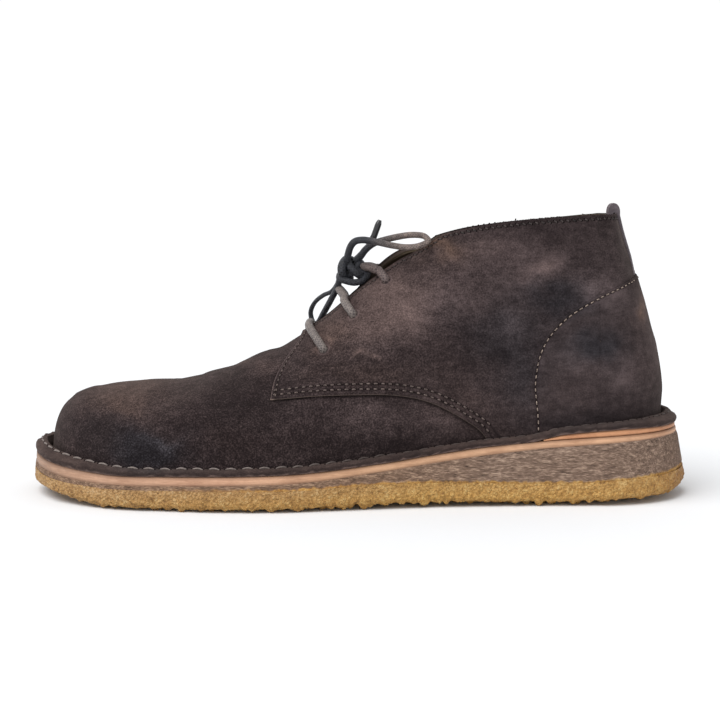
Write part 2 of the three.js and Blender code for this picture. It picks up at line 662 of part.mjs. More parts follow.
const END_DOWN = [
  spot(-5.2, 8.2, 103), spot(-2.6, 14, 102.4), spot(1.6, 19.6, 98.4), spot(4.8, 25, 92.4),
  spot(6.6, 29.4, 85.4), spot(7.2, 33.2, 77.6), spot(7.6, 36, 70.4),
];
const AGLET_DOWN = [spot(7.62, 36.1, 70), spot(7.9, 38.4, 62.4)];
const loopAt = (points) => cord([atKnot(points[0]), ...points, atKnot(points.at(-1))]);
const endAt = (points) => cord([atKnot(points[0]), ...points]);

// Assembly

const FINISHES = {
  suede: { color: 0x453a37, roughness: 0.95 },
  lining: { color: 0x3a2f28, roughness: 0.85 },
  crepe: { color: 0xb48a45, roughness: 0.8 },
  wedge: { color: 0x7d6d60, roughness: 0.95 },
  leather: { color: 0xc69a73, roughness: 0.7 },
  lace: { color: 0x55504f, roughness: 0.7 },
  aglet: { color: 0x2a2a2c, roughness: 0.35 },
};

function piece(name, solid, finish) {
  const mesh = new THREE.Mesh(
    geometryOf(solid), new THREE.MeshStandardMaterial({ metalness: 0, ...FINISHES[finish] }));
  mesh.name = name;
  return mesh;
}

const boot = new THREE.Group();
boot.add(
  piece("outsole", outsole(), "crepe"),
  piece("wedge", wedge(), "wedge"),
  piece("midsole", midsole(), "leather"),
  piece("heel_seat", heelSeat(), "leather"),
  piece("welt", welt(), "suede"),
  piece("insole", insole(), "lining"),
  piece("upper", upper(), "suede"),
  piece("tongue", tongue(), "suede"),
  piece("pull_loop", pullLoop(), "suede"),
  piece("lace_bar_low", laceBar(BARS[0]), "lace"),
  piece("lace_bar_middle", laceBar(BARS[1]), "lace"),
  piece("lace_bar_top", laceBar(BARS[2]), "lace"),
  piece("lace_knot", knot(), "lace"),
  piece("lace_loop_back", loopAt(LOOP_BACK), "lace"),
  piece("lace_loop_front", loopAt(LOOP_FRONT), "lace"),
  piece("lace_end_up", endAt(END_UP), "lace"),
  piece("lace_end_down", endAt(END_DOWN), "lace"),
  piece("aglet_up", cord(AGLET_UP, AGLET_RADIUS), "aglet"),
  piece("aglet_down", cord(AGLET_DOWN, AGLET_RADIUS), "aglet"),
);

export default boot;
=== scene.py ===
import bisect
import functools
import math

import bmesh
import bpy
from mathutils import Matrix, Vector, kdtree, noise
from mathutils.bvhtree import BVHTree


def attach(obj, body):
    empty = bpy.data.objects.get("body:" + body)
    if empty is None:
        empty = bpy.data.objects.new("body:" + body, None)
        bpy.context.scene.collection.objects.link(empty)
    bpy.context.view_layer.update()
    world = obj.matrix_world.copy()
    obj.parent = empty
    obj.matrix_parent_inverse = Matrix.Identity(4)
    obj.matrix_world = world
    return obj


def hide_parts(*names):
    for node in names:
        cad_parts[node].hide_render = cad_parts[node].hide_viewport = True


# A left desert boot in dark suede, standing empty on its crepe sole. The tables are in millimetres,
# as they were cut for the solids: +X runs from toe to heel, -Y is the outer side, +Z is up.
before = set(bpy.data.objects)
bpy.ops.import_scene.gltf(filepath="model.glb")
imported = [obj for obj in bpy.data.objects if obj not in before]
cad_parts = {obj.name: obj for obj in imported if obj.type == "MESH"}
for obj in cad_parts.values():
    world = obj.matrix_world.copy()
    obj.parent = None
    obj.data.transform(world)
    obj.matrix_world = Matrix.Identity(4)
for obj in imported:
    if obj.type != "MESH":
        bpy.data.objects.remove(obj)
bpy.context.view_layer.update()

# Camera: level with the ankle, square to the outer side, at the distance of a product table.
camera = bpy.data.objects.new("camera", bpy.data.cameras.new("camera"))
camera.data.lens = 75.83
camera.data.sensor_width = 36
camera.location = (0.0008, -0.7, 0.14)
looks_at = Vector((0.0008, 0, 0.061))
camera.rotation_euler = (looks_at - camera.location).to_track_quat("-Z", "Y").to_euler()
bpy.context.scene.collection.objects.link(camera)
bpy.context.scene.camera = camera
bpy.context.scene.view_settings.view_transform = "Standard"


# Lace: one round waxed cord, 3.4 mm thick, braided over a core and drawn tight in a bow.
# The knot's wraps are moulded round each other. Both loops and both ends are free runs of the cord.
LACE = 1.7
KNOT = Vector((-5.4, -1, 103.8))
KNOT_HALF = Vector((5.4, 4.8, 4.2))


def add(tree, kind, values=None, **settings):
    """Puts a node in a tree, with its settings and with values or links on its inputs."""
    made = tree.nodes.new(kind)
    for key, value in settings.items():
        setattr(made, key, value)
    for socket, value in (values or {}).items():
        if isinstance(value, bpy.types.NodeSocket):
            tree.links.new(value, made.inputs[socket])
        else:
            made.inputs[socket].default_value = value
    return made


def maths(tree, operation, a, b=0.0, c=0.0):
    return add(tree, "ShaderNodeMath", {0: a, 1: b, 2: c}, operation=operation).outputs[0]


def blend_colour(tree, share, a, b):
    mixed = add(tree, "ShaderNodeMix", data_type="RGBA")
    for socket, value in ((0, share), (6, a), (7, b)):
        if isinstance(value, bpy.types.NodeSocket):
            tree.links.new(value, mixed.inputs[socket])
        else:
            mixed.inputs[socket].default_value = value
    return mixed.outputs[2]


def finish_of(name, roughness=0.8, specular=0.3):
    """A new material with its Principled shader, which is also returned."""
    material = bpy.data.materials.new(name)
    material.use_nodes = True
    shader = material.node_tree.nodes["Principled BSDF"]
    shader.inputs["Roughness"].default_value = roughness
    shader.inputs["Specular IOR Level"].default_value = specular
    return material, shader


def paint(red, green, blue):
    """A colour given as it looks on a screen, from 0 to 255, for a shader's linear input."""
    def linear(value):
        share = value / 255
        return share / 12.92 if share < 0.04045 else ((share + 0.055) / 1.055) ** 2.4
    return (linear(red), linear(green), linear(blue), 1)


def bump_from(tree, height, depth, strength=1.0):
    bump = add(tree, "ShaderNodeBump", {"Height": height, "Distance": depth, "Strength": strength})
    return bump.outputs[0]


def braid_finish(name, dark, light, far_dark, far_light, start, end):
    """Waxed braid: plaits run both ways round the cord. It turns to its second pair of colours along X."""
    material, shader = finish_of(name, 0.42, 0.4)
    tree = material.node_tree
    uv = add(tree, "ShaderNodeUVMap", uv_map="UVMap").outputs[0]
    parts = add(tree, "ShaderNodeSeparateXYZ", {0: uv})
    along = maths(tree, "MULTIPLY", parts.outputs[0], 9 * math.tau)
    round_it = maths(tree, "MULTIPLY", parts.outputs[1], 6 * math.tau)
    left = maths(tree, "SINE", maths(tree, "ADD", along, round_it))
    right = maths(tree, "SINE", maths(tree, "SUBTRACT", along, round_it))
    plait = maths(tree, "MAXIMUM", left, right)
    spot = add(tree, "ShaderNodeTexCoord").outputs["Object"]
    wear = add(tree, "ShaderNodeTexNoise", {"Vector": spot, "Scale": 700, "Detail": 5, "Roughness": 0.65})
    share = maths(tree, "MULTIPLY_ADD", plait, 0.16, wear.outputs["Fac"])
    share = add(tree, "ShaderNodeMapRange", {"Value": share, "From Min": 0.36, "From Max": 0.76}).outputs[0]
    x = add(tree, "ShaderNodeSeparateXYZ", {0: spot}).outputs[0]
    far = add(tree, "ShaderNodeMapRange", {"Value": x, "From Min": start / 1000, "From Max": end / 1000})
    low = blend_colour(tree, far.outputs[0], dark, far_dark)
    high = blend_colour(tree, far.outputs[0], light, far_light)
    tree.links.new(blend_colour(tree, share, low, high), shader.inputs["Base Color"])
    tree.links.new(bump_from(tree, share, 0.00035, 0.9), shader.inputs["Normal"])
    return material


def rounded_route(points, step=0.8):
    """The smooth curve through a route's points, in short steps."""
    spots = [Vector(p) for p in points]
    spots = [2 * spots[0] - spots[1], *spots, 2 * spots[-1] - spots[-2]]
    route = []
    for four in zip(spots, spots[1:], spots[2:], spots[3:]):
        times = [0.0]
        for a, b in zip(four, four[1:]):
            times.append(times[-1] + max((b - a).length, 1e-4) ** 0.5)
        count = max(1, round((four[2] - four[1]).length / step))
        for i in range(count):
            at = times[1] + (times[2] - times[1]) * i / count
            run = four
            for reach in (1, 2):
                run = [
                    a.lerp(b, (at - times[k]) / (times[k + reach] - times[k]))
                    for k, (a, b) in enumerate(zip(run, run[1:]))
                ]
            route.append(run[0].lerp(run[1], i / count))
    route.append(spots[-2])
    return route


def tube(bm, route, sides=14, size=lambda share: LACE):
    """Sweeps a round section along a route: a grid is rolled round it and closed at its seam."""
    turns = [(b - a).normalized() for a, b in zip([route[0], *route], [*route[1:], route[-1]]) if b != a]
    turns = [turns[0], *turns][: len(route)] if len(turns) < len(route) else turns[: len(route)]
    across = turns[0].orthogonal().normalized()
    frames = []
    for way in turns:
        across = (across - way * across.dot(way)).normalized()
        frames.append((across.copy(), way.cross(across)))
    steps = len(route) - 1
    walked = sum((b - a).length for a, b in zip(route, route[1:]))
    grid = bmesh.ops.create_grid(bm, x_segments=steps, y_segments=sides, size=1, calc_uvs=True)["verts"]
    uv = bm.loops.layers.uv["UVMap"]
    for face in {face for vert in grid for face in vert.link_faces}:
        for loop in face.loops:
            loop[uv].uv.x *= walked / (2 * math.pi * LACE)
    for vert in grid:
        share = (vert.co.x + 1) / 2
        i = round(share * steps)
        angle = math.pi * (vert.co.y + 1)
        a, b = frames[i]
        vert.co = route[i] + (a * math.cos(angle) + b * math.sin(angle)) * size(share)
    bmesh.ops.remove_doubles(bm, verts=grid, dist=0.01)
    rims = [edge for edge in bm.edges if edge.is_boundary]
    bmesh.ops.edgeloop_fill(bm, edges=rims)


def new_mesh():
    bm = bmesh.new()
    bm.loops.layers.uv.new("UVMap")
    return bm


def settle(bm, name, finishes, slot, *nodes):
    """Makes a bmesh drawn in millimetres a piece of the boot, which stands for those CAD nodes."""
    bmesh.ops.recalc_face_normals(bm, faces=bm.faces)
    bm.transform(Matrix.Scale(0.001, 4))
    for edge in bm.edges:
        edge.smooth = edge.calc_face_angle(0) < math.radians(45)
    for face in bm.faces:
        face.smooth = True
    mesh = bpy.data.meshes.new(name)
    bm.to_mesh(mesh)
    bm.free()
    for material in finishes:
        mesh.materials.append(material)
    piece = bpy.data.objects.new(name, mesh)
    bpy.context.scene.collection.objects.link(piece)
    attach(piece, "root")
    if nodes:
        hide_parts(*nodes)
    return piece


lace_pale = braid_finish(
    "lace_pale", paint(76, 68, 68), paint(134, 124, 118), paint(56, 46, 47), paint(120, 104, 100), -4, 6)
lace_dark = braid_finish(
    "lace_dark", paint(9, 9, 13), paint(54, 55, 62), paint(52, 44, 44), paint(146, 130, 122), 4, 22)


def at_knot(towards):
    """Where a run leaves the knot on its way to a point."""
    way = Vector(towards) - KNOT
    reach = 1 / math.hypot(*(way[k] / KNOT_HALF[k] for k in range(3)))
    return KNOT + way * reach + way.normalized() * 0.3


LOOP_BACK = [
    (-5.3, -5, 107.4), (-4.6, -6.4, 110.4), (-3.6, -8, 113.7), (-1.6, -9.6, 116.2), (1.8, -11.4, 117),
    (8.1, -14, 116.2), (15.3, -16.8, 114.7), (21.5, -18.6, 114), (27.2, -18.8, 114.6), (31.4, -17.4, 116.7),
    (29.7, -14.6, 118.8), (24.4, -12, 119.3), (18.2, -9, 118.4), (11.9, -6, 116.8), (6.6, -4, 114.9),
    (3.2, -2.6, 112.1), (0.7, -1.8, 108.8),
]
LOOP_FRONT = [
    (-8.5, -4, 98.7), (-9.7, -1, 94.8), (-12.8, 5.5, 88.5), (-16.2, 12, 82.1), (-18.7, 16.4, 77.5),
    (-20.3, 19, 75.6), (-21.9, 20.8, 77.4), (-22.7, 21, 81.4), (-20.8, 17.6, 86.2), (-16.5, 12.4, 90.2),
    (-12.2, 8, 92.6),
]
END_UP = [(0.2, 5.4, 108.6), (4.6, 5.6, 113.4), (7.2, 6, 118)]
END_DOWN = [
    (-5.2, 8.2, 103), (-2.6, 14, 102.4), (1.6, 19.6, 98.4), (4.8, 25, 92.4), (6.6, 29.4, 85.4),
    (7.2, 33.2, 77.6), (7.6, 36, 70.4),
]
# The ends are dipped and rolled into hard black tips.
aglet_black, shader = finish_of("aglet_black", 0.3, 0.6)
shader.inputs["Base Color"].default_value = paint(34, 33, 36)
for name, ends, node in (
    ("tip_upper", [(7, 5.96, 117.3), (10, 6.5, 125.6)], "aglet_up"),
    ("tip_lower", [(7.6, 35.8, 71), (7.9, 38.4, 62.4)], "aglet_down"),
):
    bm = new_mesh()
    start, end = (Vector(p) for p in ends)
    straight = [start.lerp(end, k / 10) for k in range(11)]
    tube(bm, straight, 14, lambda share: 1.5 * min(1, 2.4 - 1.8 * share))
    settle(bm, name, [aglet_black], "aglet", node)

# The bow: each run is thinner where it is pulled into its loop.
RUNS = (
    ("lace_back_run", LOOP_BACK, None, "lace_loop_back",
     lambda share: 1.66 - 0.3 * math.sin(math.pi * share) ** 2),
    ("lace_front_run", LOOP_FRONT, None, "lace_loop_front",
     lambda share: 1.5 - 0.45 * min(max(share * 3 - 1, 0), 1)),
    ("lace_upper_end", END_UP, "tip_upper", "lace_end_up", lambda share: 1.5),
    ("lace_lower_end", END_DOWN, "tip_lower", "lace_end_down", lambda share: 1.6),
)
for name, points, tip, node, size in RUNS:
    points = [at_knot(points[0]), *points] + ([] if tip else [at_knot(points[-1])])
    route = rounded_route(points)
    bm = new_mesh()
    tube(bm, route, size=size)
    run = settle(bm, name, [lace_dark], "lace", node)
    length = sum((b - a).length for a, b in zip(route, route[1:])) / 1000


# Knot: one turn stands upright at its left, one runs under it from the lower left to the top bar,
# and two more cross in its middle, pulled tight over the two runs behind.
TURNS = (
    (2.1, [(-3.4, 1.6, 107.2), (-5.8, -2.6, 107.4), (-7.4, -5.1, 104.6), (-7.3, -5, 101.8),
           (-5.8, -1.6, 99.4),
           (-3.8, 1.6, 99.2)]),
    (1.6, [(-8.6, 0.6, 100.4), (-8.5, -3.4, 99.2), (-6, -5.8, 98.2), (-1.6, -6.2, 97.4), (1.8, -5.6, 98.3),
           (4, -4.2, 100.4), (4.6, -2, 102.4)]),
    (1.9, [(-5.2, -1.6, 107), (-3.8, -4.8, 104.6), (-1.4, -5.6, 102.2), (1.2, -4.4, 100.6), (3, -1.4, 100.8)]),
    (1.7, [(1.4, -1, 106.8), (-0.4, -3, 104.4), (-3, -3.8, 101.6), (-5.2, -2.4, 99.8)]),
    (2.6, [(-6.6, 1, 101), (-4.2, 1.4, 103), (-1, 1.2, 104.4), (1.6, 0.8, 103)]),
    (2.2, [(-2.2, -2.6, 103), (0.8, -3.4, 101.8), (3.2, -2.6, 101.2)]),
)
bm = new_mesh()
for thick, points in TURNS:
    tube(bm, rounded_route(points), 14, lambda share: thick)
settle(bm, "lace_knot_wraps", [lace_dark], "lace", "lace_knot")


# Crepe outsole: a slab of raw crumb rubber, poured with a coarse nubby tread and sanded at its edge.
# It wraps up at the toe, and its side leans out towards the floor at the heel.
LATERAL, MEDIAL = -1, 1
LAST_NAMES = (
    "x", "y", "turn", "lateral", "medial", "ledge", "crest", "open", "side_up", "side_out", "top_full", "top_drop",
)
LAST = (
    (-88, 6, 0, 55.4, 55.4, 8.1, 51.2, 0, 0.82, 0, 0.775, 1),
    (-88, 6, 30, 52.6, 51.2, 7.6, 51.2, 0, 0.78, 0, 0.74, 1),
    (-88, 6, 60, 50, 43, 6, 51.2, 0, 0.72, 0.6, 0.7, 0.8),
    (-88, 6, 90, 50.5, 41, 5.2, 51.2, 0, 0.66, 1, 0.66, 0.6),
    (-62, 4, 90, 52.4, 45, 5, 57.1, 0, 0.6, 1.4, 0.6, 0.6),
    (-38, 2, 90, 50.8, 44.6, 5, 66.3, 0, 0.52, 1.6, 0.5, 1.5),
    (-18, 0, 90, 46, 41.4, 5, 78.2, 0, 0.46, 1.6, 0.5, 2.6),
    (8, -1.4, 90, 40, 37.4, 4.8, 100.6, 0, 0.42, 0.8, 0.56, 5),
    (24, -2.2, 90, 36.4, 35.8, 4.8, 111.4, 3, 0.4, 0.4, 0.54, 8),
    (38, -1.8, 90, 34.8, 34.4, 4.8, 119.2, 12.6, 0.38, 0, 0.44, 14),
    (56, -1, 90, 34.2, 32.6, 4.8, 124, 21, 0.34, 0, 0.32, 24),
    (80, -1, 90, 32.4, 31.2, 5.4, 127, 26.2, 0.3, 0.6, 0.24, 30),
    (106, -1, 90, 31.4, 30.8, 6.4, 128.6, 22.4, 0.3, 1.2, 0.36, 30),
    (106, -1, 120, 31, 30.8, 7.6, 128.6, 16.8, 0.3, 1.6, 0.42, 30),
    (106, -1, 150, 31.1, 31.1, 9.1, 128.8, 12.2, 0.3, 2, 0.45, 30),
    (106, -1, 180, 31.4, 31.4, 10.4, 129, 11, 0.3, 2.4, 0.47, 30),
)
SOLE_NAMES = ("x", "tread", "crepe", "wedge", "midsole", "seat")
SOLE = (
    (-152, 7.2, 12.8, 14.2, 19, 19),
    (-140, 4.4, 11.2, 12.6, 17.4, 17.4),
    (-122, 2, 9.8, 11.2, 15.8, 15.8),
    (-104, 1.5, 9.3, 10.8, 15, 15),
    (-65, 1.5, 9.5, 11.6, 15.6, 15.6),
    (-28, 1.5, 9.8, 12.6, 16.6, 16.6),
    (10, 3, 11.4, 16.6, 20.2, 20.2),
    (34, 3, 11.4, 20, 23.6, 23.6),
    (58, 2, 10.8, 23.2, 26.8, 26.8),
    (78, 1.5, 10.4, 25.4, 28.7, 28.7),
    (82, 1.5, 10.4, 25.8, 29, 29.9),
    (92, 1.5, 10.4, 26.6, 29.7, 32),
    (122, 1.5, 12, 28.6, 31.4, 34.2),
    (140, 3, 13.4, 29, 31.6, 33.8),
    (152, 5.4, 14.4, 28.6, 31, 32.8),
)


def smooth_columns(names, rows, places):
    """A table as a function of place: each column is a cubic that never runs past its rows."""
    columns = {}
    for k, name in enumerate(names):
        values = [row[k] for row in rows]
        spans = zip(values, values[1:], places, places[1:])
        rises = [(b - a) / (far - near) for a, b, near, far in spans]
        inner = [2 * a * b / (a + b) if a * b > 0 else 0 for a, b in zip(rises, rises[1:])]
        columns[name] = (values, [rises[0], *inner, rises[-1]])

    @functools.lru_cache(maxsize=None)
    def row_at(place):
        place = min(max(place, places[0]), places[-1])
        i = min(max(bisect.bisect_right(places, place) - 1, 0), len(places) - 2)
        span = places[i + 1] - places[i]
        t = (place - places[i]) / span
        ease = t * t * (3 - 2 * t)
        return {
            name: values[i] * (1 - ease) + values[i + 1] * ease
            + slopes[i] * span * t * (1 - t) ** 2 - slopes[i + 1] * span * t * t * (1 - t)
            for name, (values, slopes) in columns.items()
        }
    return row_at


def ray(turn, side):
    angle = math.radians(turn)
    return Vector((-math.cos(angle), side * math.sin(angle), 0))


walked_ends = [
    ray(turn, 1) * (lateral + medial) / 2 + Vector((x, 0, 0)) for x, _, turn, lateral, medial, *_ in LAST
]
PLACES = [0.0]
for near, far in zip(walked_ends, walked_ends[1:]):
    PLACES.append(PLACES[-1] + (far - near).length)
ROUND = PLACES[-1]
last_at = smooth_columns(LAST_NAMES, LAST, PLACES)
sole_at = smooth_columns(SOLE_NAMES, SOLE, [row[0] for row in SOLE])


@functools.lru_cache(maxsize=None)
def outline(station, side, extra=0.0):
    """The feather line in plan at a station of the walk from toe to heel, moved out by extra."""
    row = last_at(station)
    reach = (row["lateral"] if side == LATERAL else row["medial"]) + extra
    return ray(row["turn"], side) * reach + Vector((row["x"], row["y"], 0))


def round_boot(columns, rows, place):
    """A skin that runs once round the boot, heel to toe and back, closed at its seam and poles."""
    bm = new_mesh()
    bmesh.ops.create_grid(bm, x_segments=columns, y_segments=rows, size=1, calc_uvs=True)
    for vert in bm.verts:
        walk = round((vert.co.x + 1) / 2 * columns) / columns * 2 * ROUND
        row = round((vert.co.y + 1) / 2 * rows)
        side = LATERAL if walk <= ROUND else MEDIAL
        vert.co = place(walk if side == LATERAL else 2 * ROUND - walk, side, row)
    bmesh.ops.remove_doubles(bm, verts=bm.verts, dist=0.02)
    return bm


def lean(station, share):
    """How far the sole's side stands out: nearly upright at the forefoot, leaning out at the heel."""
    row = last_at(station)
    t = min(max((row["turn"] - 90) / 90, 0), 1)
    return row["ledge"] + share * (0.6 + 3.6 * t * t * (3 - 2 * t))


def crumb(x, y, size):
    """Rounded lumps of one cell each, all of different heights, between 0 and 1."""
    reach, spots = noise.voronoi(Vector((x / size, y / size, 0.37)))
    chance = math.sin(spots[0].x * 127.1 + spots[0].y * 311.7) * 43758.5
    chance -= math.floor(chance)
    return chance * max(0, 1 - (reach[0] / 0.6) ** 2)


OUTSOLE_SIDE, OUTSOLE_UNDER = 14, 42
RIM = (
    # x, lowest
    (-152, 8), (-149, 5.4), (-141, 4.7), (-134, 3.9), (-127, 2.7), (-120, 1.3), (-108, 0.6), (-60, 0.5),
    (-20, 1.1), (12, 1.8), (34, 1.9), (58, 1.4), (88, 1.3), (107, 2.2), (124, 3), (138, 3.2), (146, 4.8), (152, 8.4),
)
rim_at = smooth_columns(("x", "lowest"), RIM, [row[0] for row in RIM])


def outsole_spot(station, side, row):
    """The slab's skin: its top, its crumbly side, and its underside with lumps down to the floor."""
    base = outline(station, side)
    sole = sole_at(round(base.x, 2))
    middle = Vector((last_at(station)["x"], last_at(station)["y"], 0))
    if row == 0:
        return Vector((middle.x, middle.y, sole_at(round(middle.x, 2))["crepe"]))
    rim = rim_at(round(outline(station, side, round(lean(station, 1) - 1.8, 3)).x, 2))["lowest"]
    rough = min(max((4.2 - rim) / 2.5, 0.15), 1)
    if row <= OUTSOLE_SIDE:
        t = (row - 1) / (OUTSOLE_SIDE - 1)
        tuck = max(t - 0.78, 0) / 0.22
        past = lean(station, 0.8 + 0.2 * min(t / 0.8, 1)) - 1.8 * tuck ** 1.6
        at = outline(station, side, round(past, 3))
        z = sole["crepe"] + (rim + 0.8 * rough - sole["crepe"]) * t
        here = Vector((at.x, at.y, z))
        lump = noise.noise(here / 3.2) + 0.8 * noise.noise(here / 1.5) + 0.5 * noise.noise(here / 0.8)
        at = at + ray(last_at(station)["turn"], side) * lump * (0.15 + 0.4 * t)
        low = rough * max(t - 0.55, 0) / 0.45
        z += low * (0.6 * noise.noise(here / 1.1) - 2.6 * crumb(at.x, at.y, 3.9))
        return Vector((at.x, at.y, max(z, 0)))
    share = 1 - (row - OUTSOLE_SIDE) / OUTSOLE_UNDER
    edge = outline(station, side, round(lean(station, 1) - 1.8, 3))
    at = middle.lerp(edge, share)
    near = share ** 8
    tread = max(sole_at(round(at.x, 1))["tread"], 1.5)
    z = tread * (1 - near) + (rim + 0.8 * rough) * near
    z -= (2 + 0.6 * near) * rough * crumb(at.x, at.y, 3.9) - 0.4 * noise.noise(at / 1.3)
    return Vector((at.x, at.y, max(z, 0)))


def group_of(name, ins, outs):
    """An empty shader group with its sockets, and the nodes that they start and end at."""
    tree = bpy.data.node_groups.new(name, "ShaderNodeTree")
    for kind, names in (("INPUT", ins), ("OUTPUT", outs)):
        for socket, type_name in names:
            tree.interface.new_socket(socket, in_out=kind, socket_type=f"NodeSocket{type_name}")
    return tree, tree.nodes.new("NodeGroupInput"), tree.nodes.new("NodeGroupOutput")


def stops(tree, value, *colours):
    """A colour ramp through (place, colour) stops."""
    ramp = add(tree, "ShaderNodeValToRGB", {0: value})
    made = ramp.color_ramp.elements
    while len(made) < len(colours):
        made.new(0.5)
    for element, (place, colour) in zip(made, colours):
        element.position = place
        element.color = colour
    return ramp.outputs[0]


# The grain of bound rubber crumb, for the crepe and for the wedge above it.
crumb_group, given, result = group_of(
    "rubber_crumb",
    [("Dark", "Color"), ("Middle", "Color"), ("Light", "Color"), ("Streak", "Float"), ("Size", "Float")],
    [("Color", "Color"), ("Height", "Float")],
)
spot = add(crumb_group, "ShaderNodeTexCoord").outputs["Object"]
parts = add(crumb_group, "ShaderNodeSeparateXYZ", {0: spot})
drawn = add(crumb_group, "ShaderNodeCombineXYZ", {
    0: maths(crumb_group, "MULTIPLY", parts.outputs[0], given.outputs["Streak"]), 1: parts.outputs[1],
    2: parts.outputs[2]}).outputs[0]
coarse = add(crumb_group, "ShaderNodeTexNoise", {
    "Vector": drawn, "Scale": maths(crumb_group, "MULTIPLY", given.outputs["Size"], 0.3), "Detail": 4,
    "Roughness": 0.6}).outputs["Fac"]
fine = add(crumb_group, "ShaderNodeTexNoise", {
    "Vector": drawn, "Scale": given.outputs["Size"], "Detail": 3, "Roughness": 0.65}).outputs["Fac"]
grains = add(crumb_group, "ShaderNodeTexVoronoi", {"Vector": drawn, "Scale": given.outputs["Size"]})
value = maths(crumb_group, "MULTIPLY_ADD", coarse, 1.3, maths(crumb_group, "MULTIPLY_ADD", fine, 1.3, -0.62))
value = maths(crumb_group, "MULTIPLY_ADD", grains.outputs["Distance"], -0.35, value)
value = add(crumb_group, "ShaderNodeClamp", {"Value": value}).outputs[0]
low = add(crumb_group, "ShaderNodeMapRange", {"Value": value, "From Max": 0.5}).outputs[0]
high = add(crumb_group, "ShaderNodeMapRange", {"Value": value, "From Min": 0.5}).outputs[0]
colour = blend_colour(crumb_group, low, given.outputs["Dark"], given.outputs["Middle"])
colour = blend_colour(crumb_group, high, colour, given.outputs["Light"])
crumb_group.links.new(colour, result.inputs["Color"])
grain = maths(crumb_group, "MULTIPLY_ADD", grains.outputs["Distance"], -0.9, fine)
crumb_group.links.new(grain, result.inputs["Height"])


def crumb_colours(tree, dark, middle, light, streak, size):
    """The colour and the height of bound crumb in one material."""
    made = add(tree, "ShaderNodeGroup", node_tree=crumb_group)
    for name, value in (("Dark", dark), ("Middle", middle), ("Light", light), ("Streak", streak), ("Size", size)):
        made.inputs[name].default_value = value
    return made.outputs["Color"], made.outputs["Height"]


def along_boot(tree):
    """The place along the boot, 0 at the toe and 1 at the heel."""
    spot = add(tree, "ShaderNodeTexCoord").outputs["Object"]
    x = add(tree, "ShaderNodeSeparateXYZ", {0: spot}).outputs[0]
    return add(tree, "ShaderNodeMapRange", {"Value": x, "From Min": -0.152, "From Max": 0.152}).outputs[0]


def times_colour(tree, a, b, share=1.0):
    """One colour tinted by another."""
    mixed = add(tree, "ShaderNodeMix", {0: share}, data_type="RGBA", blend_type="MULTIPLY")
    tree.links.new(a, mixed.inputs[6])
    tree.links.new(b, mixed.inputs[7])
    return mixed.outputs[2]


HONEY = (paint(132, 95, 48), paint(186, 142, 79), paint(218, 184, 123))
crepe_finish, shader = finish_of("crepe_rubber", 0.62, 0.4)
tree = crepe_finish.node_tree
colour, height = crumb_colours(tree, *HONEY, 1.0, 850)
z = add(tree, "ShaderNodeSeparateXYZ", {0: add(tree, "ShaderNodeTexCoord").outputs["Object"]}).outputs[2]
raised = add(tree, "ShaderNodeMapRange", {"Value": z, "From Min": 0.002, "From Max": 0.009}).outputs[0]
place = along_boot(tree)
above = stops(tree, place, (0, (0.84, 0.84, 1, 1)), (0.12, (0.9, 0.92, 1.26, 1)),
              (0.42, (0.9, 0.9, 1.06, 1)), (0.6, (1, 1, 0.98, 1)), (0.93, (1, 0.98, 0.96, 1)), (1, (0.7, 0.58, 0.44, 1)))
below = stops(tree, place, (0, (0.8, 0.76, 0.8, 1)), (0.12, (0.86, 0.84, 0.84, 1)),
              (0.42, (0.94, 0.9, 0.76, 1)), (0.6, (1.06, 1.04, 0.84, 1)), (0.93, (1.02, 0.98, 0.84, 1)), (1, (0.6, 0.48, 0.3, 1)))
tint = blend_colour(tree, raised, below, above)
tree.links.new(times_colour(tree, colour, tint), shader.inputs["Base Color"])
tree.links.new(bump_from(tree, height, 0.0012, 1.0), shader.inputs["Normal"])

bm = round_boot(1400, OUTSOLE_SIDE + OUTSOLE_UNDER, outsole_spot)
settle(bm, "outsole_crepe", [crepe_finish], "crepe", "outsole")


# Wedge: grey-brown bound crumb, thin as card at the toe and 17 mm deep under the heel.
# It is ground flush with the crepe below, which smears a little of its honey colour upwards.
def layer_spot(rings):
    """A layer of the sole from its rings: how far each stands out and how high it lies."""
    def place(station, side, row):
        if row in (0, len(rings) + 1):
            at = Vector((last_at(station)["x"], last_at(station)["y"], 0))
            height = rings[0][1] if row == 0 else rings[-1][1]
        else:
            spread, height = rings[row - 1]
            at = outline(station, side, round(spread(station), 3))
        return Vector((at.x, at.y, height(at.x, station)))
    return place


def ledge(extra):
    return lambda station: last_at(station)["ledge"] + extra


def top_of(name, extra=0.0):
    return lambda x, station: sole_at(round(x, 2))[name] + extra


def wedge_ring(share):
    def height(x, station):
        row = sole_at(round(x, 2))
        return (row["crepe"] - 0.7) * (1 - share) + (row["wedge"] + 0.4) * share
    return lambda station: lean(station, 0.8 - 0.7 * share) - (0.5 if share in (0, 1) else 0), height


def up_the_side(tree):
    """The place up a layer's side, from its own UV map."""
    uv = add(tree, "ShaderNodeUVMap", uv_map="UVMap").outputs[0]
    return add(tree, "ShaderNodeSeparateXYZ", {0: uv}).outputs[1]


def note_height(bm, name, base, ragged=0.0):
    """Notes on each point how far it is above a layer's foot, in millimetres."""
    layer = bm.verts.layers.float.new(name)
    for vert in bm.verts:
        vert[layer] = vert.co.z - sole_at(round(vert.co.x, 2))[base] + ragged * noise.noise(vert.co / 1.7)


